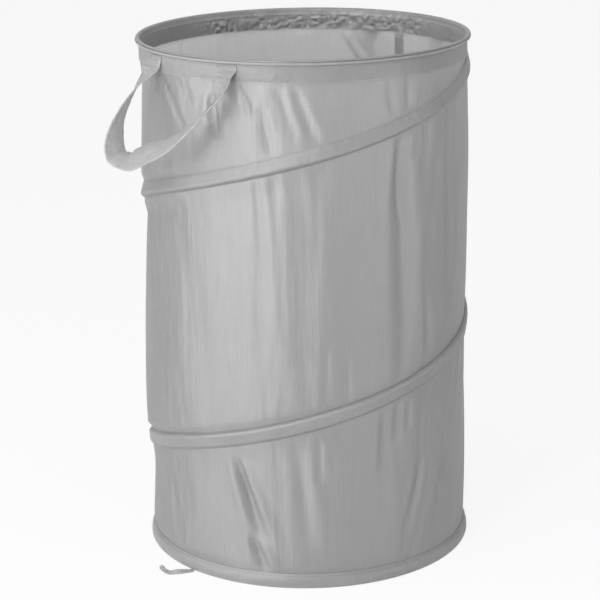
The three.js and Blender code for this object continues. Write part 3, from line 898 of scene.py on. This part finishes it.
def strip_swell(turn, up, coil):
    """How far the strip's outside stands off the wall: a long slope from the wire up to the
    upper edge on the upper turn, and a full band on the lower turn."""
    fuller = strip_fullness(turn)
    if up < 0:
        share = min(1.0, -up / coil.lip)
        return coil.crest * (1 - share ** 2.2) * (1 - 0.27 * fuller)
    share = min(1.0, up / coil.rise)
    sloping = (1 - share) ** 1.5 + 0.10 * math.sin(math.pi * share)
    full = (0.66 + 0.40 * share) * (1 - share ** 6) / 0.9
    return coil.crest * (sloping * (1 - fuller) + full * fuller)


# Places up the strip as shares of its rise above the wire and of its lip below it
STRIP_UP_SHARES = (1, 0.965, 0.92, 0.86, 0.79, 0.71, 0.62, 0.52, 0.42, 0.32, 0.22, 0.13, 0.05)
STRIP_DOWN_SHARES = (-0.04, -0.2, -0.4, -0.58, -0.72, -0.83, -0.92, -1)

# The strip's stitches in from its edges, its face off the wall beside the swell, and its least
STRIP_SEWN_IN = 1.5 * MM
STRIP_FACE = 0.85 * MM
STRIP_LEAST = 0.15 * MM

# Blocks and steps that the strip and the wire are spun in, and how far the wire stops short
STRIP_SPIN = (45, 30)
WIRE_SPIN = (26, 20)
WIRE_INSET = math.radians(1.3)


def strip_profile(coil, tape):
    """The strip's cross-section as a closed loop of places out and up: its outside at 0, its
    inside the tape's thickness behind."""
    ups = [share * coil.rise for share in STRIP_UP_SHARES]
    ups += [share * coil.lip for share in STRIP_DOWN_SHARES]
    return [(0.0, up) for up in ups] + [(-tape, up) for up in reversed(ups)]


def strip_shift(turn, up, coil, binding):
    """Where the strip's outside lies off the wall's face, with its puckers and stitch grooves."""
    edge = min(coil.rise - up, up + coil.lip)
    groove = GROOVE_DEPTH * math.exp(-((edge - STRIP_SEWN_IN) / (0.6 * MM)) ** 2)
    pucker = coil_pucker(turn, up, binding.pucker) * ease(edge / (1.2 * MM) + 0.3)
    return STRIP_FACE + strip_swell(turn, up, coil) + max(pucker, -0.5 * MM) - groove


def place_on_coil(turn, out, up, drum, coil):
    height = min(coil_height(turn, coil) + up, RIM_EDGE - 0.3 * MM)
    return on_drum(turn, drum.wall_radius + out, height)


class HAMPER_OT_coil(bpy.types.Operator):
    """Builds the spring coil's wire and the strip of cloth over it"""

    bl_idname = "hamper.coil"
    bl_label = "Coil and Strip"

    def execute(self, context):
        scene = context.scene
        self.build_strip(scene)
        self.build_wire(scene)
        return {"FINISHED"}

    def build_strip(self, scene):
        drum, coil, binding = scene.hamper_drum, scene.hamper_coil, scene.hamper_binding
        sweep = coil.end - coil.start
        climb = coil.pitch * sweep / TURN
        base = coil_height(coil.start, coil)
        reach = drum.wall_radius + binding.tape_thickness
        profile = strip_profile(coil, binding.tape_thickness)
        bm = bmesh.new()
        verts, edges = closed_strand(bm, [on_drum(coil.start, reach + out, base + up) for out, up in profile])
        spun(bm, verts + edges, sweep, *STRIP_SPIN, climb)
        bm.verts.index_update()
        places = []
        for vert in bm.verts:
            azimuth = azimuth_of(vert.co)
            nearest = (vert.co.z - coil.front_height) / coil.pitch - azimuth / TURN
            turn = azimuth + TURN * round(nearest)
            up = vert.co.z - coil_height(turn, coil)
            out = math.hypot(vert.co.x, vert.co.y) - reach
            out = max(STRIP_LEAST, out + strip_shift(turn, up, coil, binding))
            vert.co = place_on_coil(turn, out, up, drum, coil)
            places.append((turn * drum.wall_radius, up))
        cap_ends(bm)
        add_uv(bm, lambda vert: places[vert.index])
        piece = make_piece("coil_strip", bm, binding_cloth(scene.hamper_colours))
        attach(piece, "base")
        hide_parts("spiral_casing")
        folds_with_drum(piece)

    def build_wire(self, scene):
        drum, coil = scene.hamper_drum, scene.hamper_coil
        start = coil.start + WIRE_INSET
        sweep = coil.end - WIRE_INSET - start
        base = coil_height(start, coil)
        profile = arc_points(drum.wall_radius + coil.wire_offset, 0, coil.wire_diameter / 2, 0, 324, 9)
        bm = bmesh.new()
        verts, edges = closed_strand(bm, [on_drum(start, out, base + up) for out, up in profile])
        spun(bm, verts + edges, sweep, *WIRE_SPIN, coil.pitch * sweep / TURN)
        cap_ends(bm)
        piece = make_piece("coil_wire", bm, wire_finish(scene.hamper_colours))
        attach(piece, "base")
        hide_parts("spiral_wire")
        folds_with_drum(piece)


# The side seam and its tape stop this far from the bindings
SEAM_FOOT, SEAM_HEAD = FOOT_EDGE + 2 * MM, RIM_EDGE - 2 * MM
SEAM_TAPE_GAP = 0.9 * MM


class HAMPER_OT_seam_tape(bpy.types.Operator):
    """Builds the tape that covers the side seam inside the wall"""

    bl_idname = "hamper.seam_tape"
    bl_label = "Side Seam Tape"

    def execute(self, context):
        scene = context.scene
        drum, coil, binding = scene.hamper_drum, scene.hamper_coil, scene.hamper_binding
        length = SEAM_HEAD - SEAM_FOOT

        def place_at(x, y):
            height = SEAM_FOOT + length * y
            azimuth = drum.seam_azimuth + x * drum.seam_tape_width / drum.wall_radius
            face = drum.wall_radius - wall_inset(azimuth, height, drum, coil)
            pucker = 0.5 * MM * noise.noise(Vector((x * 2, height * 150, 3)))
            return on_drum(azimuth, face - drum.cloth_thickness - SEAM_TAPE_GAP + pucker, height)

        bm = shaped_strip(6, 180, drum.seam_tape_width, length, place_at)
        piece = make_piece("side_tape", bm, binding_cloth(scene.hamper_colours))
        thicken(piece, binding.tape_thickness, 0)
        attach(piece, "base")
        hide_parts("side_seam_tape")
        folds_with_drum(piece)
        return {"FINISHED"}


# The loop's route in its own plane, as shares of half the gap between the legs and of the drop,
# and the strap's twist as a share of half a turn
HANDLE_ROUTE_SHARES = (
    (1, 0, 0), (1.06, 0.09, 0.1), (1.14, 0.2, 0.2), (1.22, 0.38, 0.28), (1.23, 0.57, 0.35),
    (1.17, 0.74, 0.48), (1.04, 0.9, 0.66), (0.8, 0.98, 0.82), (0.5, 0.985, 0.95),
    (0.1, 0.87, 0.98), (-0.36, 0.73, 0.89), (-0.71, 0.54, 0.8), (-0.93, 0.38, 0.75),
    (-1.05, 0.28, 0.76), (-1.1, 0.18, 0.82), (-1.07, 0.09, 0.93), (-1, 0, 1),
)

# Where the strap is creased across its lowest corner, as shares of its length, and a crease's reach
HANDLE_CREASE_SHARES = (0.425, 0.508)
CREASE_REACH_SHARE = 0.032

# A tie's route as shares of its reach, its sweep and the lift of its end
TIE_ROUTE_SHARES = (
    (0, 0, 0), (0.35, 0.08, 0), (0.72, 0.22, 0), (0.96, 0.46, 0.04), (1, 0.75, 0.35), (0.94, 1, 1),
)


def along_route(shares, place):
    """A point on the smooth curve through the shares, with place running from 0 to 1."""
    points = [Vector(share) for share in shares]
    points = [2 * points[0] - points[1], *points, 2 * points[-1] - points[-2]]
    spans = len(points) - 3
    index = min(int(place * spans), spans - 1)
    local = place * spans - index
    a, b, c, d = points[index:index + 4]
    before, here, after = (max((q - p).length ** 0.5, 1e-4) for p, q in ((a, b), (b, c), (c, d)))
    leave = ((b - a) / before - (c - a) / (before + here) + (c - b) / here) * here
    arrive = ((c - b) / here - (d - b) / (here + after) + (d - c) / after) * here
    square, cube = local ** 2, local ** 3
    return (
        b * (2 * cube - 3 * square + 1) + leave * (cube - 2 * square + local)
        + c * (3 * square - 2 * cube) + arrive * (cube - square))


def handle_station(place, strap, lean):
    """Centre, direction along and direction across of a handle's strap, on the front side."""
    down = Vector((-math.sin(lean), 0, -math.cos(lean)))
    face = Vector((-math.cos(lean), 0, math.sin(lean)))
    sideways = Vector((0, 1, 0))

    def centre_at(share):
        route = along_route(HANDLE_ROUTE_SHARES, share)
        return HANDLE_AXIS + sideways * route.x * strap.gap / 2 + down * route.y * strap.drop, route.z

    centre, twist = centre_at(place)
    reach = 0.008
    along = (centre_at(min(1, place + reach))[0] - centre_at(max(0, place - reach))[0]).normalized()
    inwards = face.cross(along)
    angle = math.pi * twist
    across = inwards * math.cos(angle) + face * math.sin(angle)
    square_up = ease(min(place, 1 - place) / 0.05)
    across = (across * square_up - sideways * (1 - square_up)).normalized()
    return centre, along, across


SIDES = (("front", Matrix.Identity(4)), ("rear", Matrix.Rotation(math.pi, 4, "Z")))

# Steps along a handle's loop and along a tie
LOOP_STEPS = 220
TIE_STEPS = 60

# The strap's hem and its stitches, in from its edges
STRAP_HEM = 4.2 * MM
STRAP_SEWN_IN = 2.6 * MM

# How high the strap's hem stands, and how deep its stitches, puckers, waves and cupped shape are
HEM_RISE = 0.25 * MM
STRAP_GROOVE = 0.3 * MM
STRAP_PUCKER = 0.75 * MM
STRAP_WAVE = 1.1 * MM
STRAP_CUP = 1.4 * MM

# How far a crease at the loop's corner moves the strap's edge out and its face in
CREASE_OUT = 2.2 * MM
CREASE_IN = 1.5 * MM

# A sewn end: its face off the binding's, below the CAD's top and below its axis, and the box that
# is sewn on it, in from its sides and down from its top
SEWN_END_FACE = 0.75 * MM
SEWN_END_SHORT = 0.9 * MM
SEWN_END_FOOT = 0.6 * MM
BOX_IN = 3.5 * MM
BOX_DOWN = 2.4 * MM
BOX_HEIGHT = 6.5 * MM

# Between a tie's middle line and its axis, and its lowest place
TIE_HEEL = 0.55 * MM
TIE_LOWEST = 0.6 * MM


def strap_lift(across, place, length, strap):
    """How far a handle's surface stands off its middle line: raised hems, stitch grooves, and
    puckers and a cupped shape that fade out at the sewn ends."""
    edge = (0.5 - abs(across)) * strap.width
    hem = HEM_RISE * ease((STRAP_HEM - edge) / (1.2 * MM))
    groove = -STRAP_GROOVE * math.exp(-((edge - STRAP_SEWN_IN) / GROOVE_REACH) ** 2)
    spot = Vector((across * 2.2, place * length / (9 * MM), 5.5))
    pucker = STRAP_PUCKER * (crease(noise.noise(spot), 0.25) - 0.4)
    wave = STRAP_WAVE * noise.noise(Vector((across * 1.2, place * length / (27 * MM), 9.1)))
    cup = STRAP_CUP * (across * 2) ** 2 * math.sin(math.pi * place)
    free = ease(min(place, 1 - place) / 0.06)
    return free * (pucker + wave + cup) + (hem + groove)


class HAMPER_OT_handles(bpy.types.Operator):
    """Builds the two strap handles and their sewn ends"""

    bl_idname = "hamper.handles"
    bl_label = "Handles"

    def execute(self, context):
        scene = context.scene
        for side, turn in SIDES:
            self.build_loop(scene, side, turn)
            for name, sense in (("left", 1), ("right", -1)):
                self.build_tab(scene, side, turn, name, sense)
        return {"FINISHED"}

    def build_loop(self, scene, side, turn):
        strap = scene.hamper_straps
        lean = strap.front_lean if side == "front" else strap.rear_lean
        stations = [handle_station(k / LOOP_STEPS, strap, lean) for k in range(LOOP_STEPS + 1)]
        length = sum((q[0] - p[0]).length for p, q in zip(stations, stations[1:]))

        def place_at(x, y):
            centre, along, across = stations[round(y * LOOP_STEPS)]
            through = along.cross(across).normalized()
            folded = sum(max(0.0, 1 - abs(y - at) / CREASE_REACH_SHARE) for at in HANDLE_CREASE_SHARES)
            corner = across * CREASE_OUT * folded * max(0.0, 2 * x) - through * CREASE_IN * folded
            return centre + across * x * strap.width + corner + through * strap_lift(x, y, length, strap)

        bm = shaped_strip(16, LOOP_STEPS, strap.width, length, place_at, turn)
        piece = make_piece(f"{side}_strap", bm, strap_cloth(scene.hamper_colours))
        thicken(piece, strap.thickness, 0)
        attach(piece, f"{side}_handle")
        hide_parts(f"{side}_handle")
        folds_with_drum(piece)

    def build_tab(self, scene, side, turn, name, sense):
        strap, binding = scene.hamper_straps, scene.hamper_binding
        face = RIDGE_RADIUS - binding.outer_face + SEWN_END_FACE
        head = HANDLE_AXIS.z + strap.tab_drop - SEWN_END_SHORT

        def place_at(x, y):
            sideways = sense * strap.gap / 2 + x * strap.width
            height = HANDLE_AXIS.z - SEWN_END_FOOT + (head - HANDLE_AXIS.z) * (1 - y)
            on_hem = -math.sqrt(face ** 2 - sideways ** 2)
            leave = ease(1 - (1 - y) * 1.35)
            pucker = 0.35 * MM * noise.noise(Vector((sideways * 160, height * 160, sense)))
            out = on_hem * (1 - leave) + HANDLE_AXIS.x * leave + pucker * (1 - leave)
            return Vector((out, sideways, height))

        bm = shaped_strip(14, 16, strap.width, strap.tab_drop + 8 * MM, place_at, turn)
        piece = make_piece(f"{side}_sewn_end_{name}", bm, strap_cloth(scene.hamper_colours))
        thicken(piece, strap.thickness, 0)
        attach(piece, "top")
        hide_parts(f"{side}_handle_tab_{name}")


class HAMPER_OT_ties(bpy.types.Operator):
    """Builds the two ties that hold the hamper flat"""

    bl_idname = "hamper.ties"
    bl_label = "Ties"

    def execute(self, context):
        scene = context.scene
        strap = scene.hamper_straps
        heel = Vector((TIE_AXIS.x + TIE_HEEL, strap.tie_offset, TIE_AXIS.z))
        reaches = Vector((-strap.tie_reach, strap.tie_sweep, strap.tie_lift))
        shares = [along_route(TIE_ROUTE_SHARES, k / TIE_STEPS) for k in range(TIE_STEPS + 1)]
        points = [heel + share * reaches for share in shares]
        length = sum((q - p).length for p, q in zip(points, points[1:]))

        def place_at(x, share):
            index = round(share * TIE_STEPS)
            along = (points[min(index + 1, TIE_STEPS)] - points[max(index - 1, 0)]).normalized()
            level = Vector((0, 0, 1)).cross(along).normalized()
            turnover = math.radians(-42) * math.sin(math.pi * ease(share / 0.8)) if share < 0.8 else 0.0
            across = level * math.cos(turnover) + along.cross(level) * math.sin(turnover)
            narrow = 0.86 - 0.12 * math.sin(math.pi * min(1, share / 0.75))
            narrow *= math.sqrt(max(0.05, 1 - ease((share - 0.9) / 0.1) * 0.75))
            lift = 0.378 * strap.tie_width * abs(math.sin(turnover))
            soft = 0.5 * MM * noise.noise(Vector((x, share * 9, 1.5)))
            place = points[index] + across * x * strap.tie_width * narrow
            place.z = max(place.z + lift + soft * ease(share * 6), TIE_LOWEST)
            return place

        for side, turn in SIDES:
            bm = shaped_strip(8, TIE_STEPS, strap.tie_width, length, place_at, turn)
            piece = make_piece(f"{side}_ribbon", bm, strap_cloth(scene.hamper_colours))
            thicken(piece, strap.tie_thickness, 0)
            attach(piece, f"{side}_tie")
            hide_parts(f"{side}_tie")
        return {"FINISHED"}


# Adding to a small mesh is quicker than adding to a large one
STITCHES_AT_ONCE = 50

# How far a thread's middle stands off the cloth, off the side seam, and off the wall on the coil at least
THREAD_PROUD = 0.1 * MM
SEAM_THREAD_PROUD = 0.08 * MM
COIL_THREAD_LEAST = 0.7 * MM

# Length that a handle's stitches are counted on, and the part of the loop that they cover
STITCHED_LENGTH = 0.34
STITCHED_START_SHARE, STITCHED_SHARE = 0.02, 0.96


class HAMPER_OT_stitching(bpy.types.Operator):
    """Sews the bindings, the strip, the side seam and the handles"""

    bl_idname = "hamper.stitching"
    bl_label = "Stitching"

    def execute(self, context):
        scene = context.scene
        self.drum, self.coil = scene.hamper_drum, scene.hamper_coil
        self.binding, self.strap = scene.hamper_binding, scene.hamper_straps
        self.finish = thread_finish(scene.hamper_colours.thread)
        self.sew_bindings()
        self.sew_coil()
        self.sew_side_seam()
        self.sew_handles()
        return {"FINISHED"}

    def finish_row(self, name, bm, body, slot="binding"):
        piece = make_piece(name, bm, self.finish, 180)
        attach(piece, body)
        return piece

    def sew(self, bm, place_at, length):
        """Sews a row of stitches on a line of that length, place_at taking a share from 0 to 1."""
        count = round(length / self.binding.stitch_spacing)
        reach = self.binding.stitch_length / (2 * length)
        thin = self.binding.thread_diameter / 2
        size = Matrix.Diagonal((self.binding.stitch_length / 2, thin, thin, 1))
        for first in range(0, count, STITCHES_AT_ONCE):
            part = bmesh.new()
            for k in range(first, min(first + STITCHES_AT_ONCE, count)):
                middle = (k + 0.5) / count
                start, stop = place_at(middle - reach), place_at(middle + reach)
                turn = (stop - start).to_track_quat("X", "Z").to_matrix().to_4x4()
                matrix = Matrix.Translation((start + stop) / 2) @ turn @ size
                bmesh.ops.create_icosphere(part, subdivisions=1, radius=1, matrix=matrix)
            mesh = bpy.data.meshes.new("stitches")
            part.to_mesh(mesh)
            part.free()
            bm.from_mesh(mesh)
            bpy.data.meshes.remove(mesh)

    def sew_bindings(self):
        binding = self.binding
        faces = ((False, binding.outer_face, THREAD_PROUD), (True, binding.inner_face, -THREAD_PROUD))
        for name, _, body, ridge, edge, upwards in binding_jobs(binding.channel_radius):
            skirt = abs(ridge - edge)
            bm = bmesh.new()
            for row in sewn_rows(skirt, upwards):
                height = edge + row if upwards else edge - row
                for inside, in_from_ridge, proud in faces:
                    def place_at(at):
                        azimuth = at * TURN
                        out = RIDGE_RADIUS - in_from_ridge + proud
                        out += binding_shift(azimuth, height, edge, skirt, binding, upwards, inside)
                        if not upwards and not inside:
                            out += binding.outer_face * full_swell(row / skirt)
                        return on_drum(azimuth, out, height)

                    self.sew(bm, place_at, TURN * RIDGE_RADIUS)
            self.finish_row(f"{name}_stitching", bm, body)

    def sew_coil(self):
        drum, coil, binding = self.drum, self.coil, self.binding
        sweep = coil.end - coil.start
        bm = bmesh.new()
        for up in (coil.rise - STRIP_SEWN_IN, STRIP_SEWN_IN - coil.lip):
            def place_at(at):
                turn = coil.start + at * sweep
                out = THREAD_PROUD + strip_shift(turn, up, coil, binding)
                return place_on_coil(turn, max(COIL_THREAD_LEAST, out), up, drum, coil)

            self.sew(bm, place_at, math.hypot(sweep * drum.wall_radius, coil.pitch * sweep / TURN))
        piece = self.finish_row("coil_stitching", bm, "base")
        folds_with_drum(piece)

    def sew_side_seam(self):
        drum, coil = self.drum, self.coil
        reach = 0.4 * drum.seam_tape_width / drum.wall_radius
        bm = bmesh.new()
        for azimuth in (drum.seam_azimuth - reach, drum.seam_azimuth + reach):
            def place_at(at):
                height = SEAM_FOOT + (SEAM_HEAD - SEAM_FOOT) * at
                face = wall_face(azimuth, height, drum, coil)
                return on_drum(azimuth, face + SEAM_THREAD_PROUD, height)

            self.sew(bm, place_at, SEAM_HEAD - SEAM_FOOT)
        piece = self.finish_row("side_seam_stitching", bm, "base", "cloth")
        folds_with_drum(piece)

    def sew_handles(self):
        strap = self.strap
        for side, turn in SIDES:
            bm = bmesh.new()
            lean = strap.front_lean if side == "front" else strap.rear_lean
            for edge, skin in ((-1, -1), (-1, 1), (1, -1), (1, 1)):
                def place_at(at):
                    at = STITCHED_START_SHARE + STITCHED_SHARE * min(1, max(0, at))
                    centre, along, across = handle_station(at, strap, lean)
                    through = along.cross(across).normalized()
                    share = edge * (0.5 - STRAP_SEWN_IN / strap.width)
                    lift = strap_lift(share, at, STITCHED_LENGTH, strap) + skin * strap.thickness / 2
                    return centre + across * share * strap.width + through * lift

                self.sew(bm, place_at, STITCHED_LENGTH)
            bmesh.ops.transform(bm, matrix=turn, verts=bm.verts[:])
            piece = self.finish_row(f"{side}_strap_stitching", bm, f"{side}_handle", "strap")
            folds_with_drum(piece)
            self.sew_tabs(side, turn)

    def sew_tabs(self, side, turn):
        """Sews a box with a cross through it on each sewn end."""
        strap, binding = self.strap, self.binding
        face = RIDGE_RADIUS - binding.outer_face + SEWN_END_FACE + strap.thickness / 2 + THREAD_PROUD
        head = HANDLE_AXIS.z + strap.tab_drop - BOX_DOWN
        foot = head - BOX_HEIGHT
        half_box = strap.width / 2 - BOX_IN
        bm = bmesh.new()
        for sense in (1, -1):
            left, right = (sense * strap.gap / 2 + away for away in (-half_box, half_box))
            corners = ((left, foot), (left, head), (right, head), (right, foot))
            for first, last in ((0, 1), (1, 2), (2, 3), (3, 0), (0, 2), (1, 3)):
                start, stop = corners[first], corners[last]

                def place_at(at):
                    y = start[0] + (stop[0] - start[0]) * at
                    return Vector((-math.sqrt(face ** 2 - y ** 2), y, start[1] + (stop[1] - start[1]) * at))

                self.sew(bm, place_at, math.dist(start, stop))
        bmesh.ops.transform(bm, matrix=turn, verts=bm.verts[:])
        self.finish_row(f"{side}_end_stitching", bm, "top", "strap")


class HAMPER_OT_springs(bpy.types.Operator):
    """Gives the hoops, sleeves and tips of the frame their finishes"""

    bl_idname = "hamper.springs"
    bl_label = "Springs and Tips"

    def execute(self, context):
        colours = context.scene.hamper_colours
        wire = wire_finish(colours)
        sleeve = metal_finish("crimped_sleeve", colours.sleeve, rough=0.28, stretch=(500, 500, 500))
        tip = tip_finish(colours.tip)
        finishes = {
            "top_hoop": wire, "bottom_hoop": wire, "top_hoop_sleeve": sleeve,
            "bottom_hoop_sleeve": sleeve, "spiral_tip_lower": tip, "spiral_tip_upper": tip,
        }
        for node, finish in finishes.items():
            materials = frame["nodes"][node].data.materials
            materials.clear()
            materials.append(finish)
        return {"FINISHED"}


# Each lamp's name, the setting of its power, its angles from the camera's side and from the floor,
# in degrees, and its width and height
LAMPS = (
    ("key_lamp", "key_power", -26, 30, 0.35, 0.35),
    ("soft_lamp", "soft_power", -58, 8, 2.8, 1.6),
    ("side_lamp", "side_power", 48, 8, 0.8, 1.6),
    ("top_lamp", "top_power", -12, 50, 1.0, 1.0),
)
LAMP_AIM = Vector((0, 0, 0.33))
LAMP_DISTANCE = 2.2
FLOOR_REACH = 6
FLOOR_COLOUR = (0.86, 0.86, 0.86, 1)

# Strength and share of the glow that the camera sees on the floor
FLOOR_GLOW = 1.04
FLOOR_GLOW_SHARE = 0.82


class HAMPER_OT_stage(bpy.types.Operator):
    """Sets the camera, the lamps and the floor"""

    bl_idname = "hamper.stage"
    bl_label = "Stage"

    def execute(self, context):
        scene = context.scene
        stage = scene.hamper_stage
        scene.view_settings.view_transform = "Standard"
        self.add_camera(scene, stage)
        for name, power, *place in LAMPS:
            self.add_lamp(scene, stage, name, getattr(stage, power), *place)
        self.add_floor(scene)
        self.set_world(scene, stage)
        return {"FINISHED"}

    def add_camera(self, scene, stage):
        camera = bpy.data.objects.new("camera", bpy.data.cameras.new("camera"))
        camera.data.lens = stage.lens
        camera.data.sensor_width = 36
        camera.data.clip_end = 20
        place = on_drum(stage.view_azimuth, stage.distance, stage.height)
        heading = Matrix.Rotation(stage.view_azimuth + stage.yaw, 4, "Z")
        pitch = Matrix.Rotation(math.pi / 2 - stage.pitch, 4, "X")
        roll = Matrix.Rotation(stage.roll, 4, "Z")
        camera.matrix_world = Matrix.Translation(place) @ heading @ pitch @ roll
        scene.collection.objects.link(camera)
        scene.camera = camera

    def add_lamp(self, scene, stage, name, power, azimuth, elevation, width, height):
        data = bpy.data.lights.new(name, "AREA")
        data.energy = power
        data.shape = "RECTANGLE"
        data.size = width
        data.size_y = height
        lamp = bpy.data.objects.new(name, data)
        azimuth = stage.view_azimuth + math.radians(azimuth)
        elevation = math.radians(elevation)
        away = on_drum(azimuth, LAMP_DISTANCE * math.cos(elevation), LAMP_DISTANCE * math.sin(elevation))
        turn = away.to_track_quat("Z", "Y").to_matrix().to_4x4()
        lamp.matrix_world = Matrix.Translation(LAMP_AIM + away) @ turn
        scene.collection.objects.link(lamp)

    def add_floor(self, scene):
        bm = bmesh.new()
        bmesh.ops.create_grid(bm, x_segments=1, y_segments=1, size=FLOOR_REACH)
        mesh = bpy.data.meshes.new("floor")
        bm.to_mesh(mesh)
        bm.free()
        floor = bpy.data.objects.new("floor", mesh)
        scene.collection.objects.link(floor)
        material = bpy.data.materials.new("pale_floor")
        mesh.materials.append(material)
        nodes = Nodes(material, "ShaderNodeOutputMaterial")
        diffuse = nodes.add("ShaderNodeBsdfDiffuse", "BSDF", {"Color": FLOOR_COLOUR})
        glow = nodes.add("ShaderNodeEmission", "Emission", {"Strength": FLOOR_GLOW})
        seen = nodes.add("ShaderNodeLightPath", "Is Camera Ray", {})
        share = nodes.math("MULTIPLY", seen, FLOOR_GLOW_SHARE)
        mixed = nodes.add("ShaderNodeMixShader", "Shader", {"Fac": share, 1: diffuse, 2: glow})
        nodes.fill(nodes.surface, mixed)

    def set_world(self, scene, stage):
        scene.world = bpy.data.worlds.new("studio")
        nodes = Nodes(scene.world, "ShaderNodeOutputWorld")
        path = nodes.tree.nodes.new("ShaderNodeLightPath").outputs
        seen = nodes.math("MAXIMUM", path["Is Camera Ray"], path["Is Transmission Ray"])
        strength = nodes.span(seen, stage.fill, 1.0, 0.0, 1.0)
        sky = {"Color": (1, 1, 1, 1), "Strength": strength}
        nodes.fill(nodes.surface, nodes.add("ShaderNodeBackground", "Background", sky))


class HAMPER_PT_panel(bpy.types.Panel):
    """Lists the steps that build the hamper"""

    bl_idname = "HAMPER_PT_panel"
    bl_label = "Laundry Hamper"
    bl_space_type = "VIEW_3D"
    bl_region_type = "UI"
    bl_category = "Hamper"

    def draw(self, context):
        for step in STEPS:
            self.layout.operator(step.bl_idname)


STEPS = (
    HAMPER_OT_wall, HAMPER_OT_base, HAMPER_OT_bindings, HAMPER_OT_coil, HAMPER_OT_seam_tape,
    HAMPER_OT_handles, HAMPER_OT_ties, HAMPER_OT_stitching, HAMPER_OT_springs, HAMPER_OT_stage,
)
SETTINGS = {
    "hamper_drum": HamperDrumSettings,
    "hamper_coil": HamperCoilSettings,
    "hamper_binding": HamperBindingSettings,
    "hamper_straps": HamperStrapSettings,
    "hamper_colours": HamperColourSettings,
    "hamper_stage": HamperStageSettings,
}
CLASSES = (*SETTINGS.values(), *STEPS, HAMPER_PT_panel)


def register():
    for item in CLASSES:
        bpy.utils.register_class(item)
    for name, settings in SETTINGS.items():
        setattr(bpy.types.Scene, name, PointerProperty(type=settings))


def unregister():
    for name in SETTINGS:
        delattr(bpy.types.Scene, name)
    for item in reversed(CLASSES):
        bpy.utils.unregister_class(item)


def main():
    register()
    bpy.ops.hamper.wall()
    bpy.ops.hamper.base()
    bpy.ops.hamper.bindings()
    bpy.ops.hamper.coil()
    bpy.ops.hamper.seam_tape()
    bpy.ops.hamper.handles()
    bpy.ops.hamper.ties()
    bpy.ops.hamper.stitching()
    bpy.ops.hamper.springs()
    bpy.ops.hamper.stage()


if __name__ == "__main__":
    main()
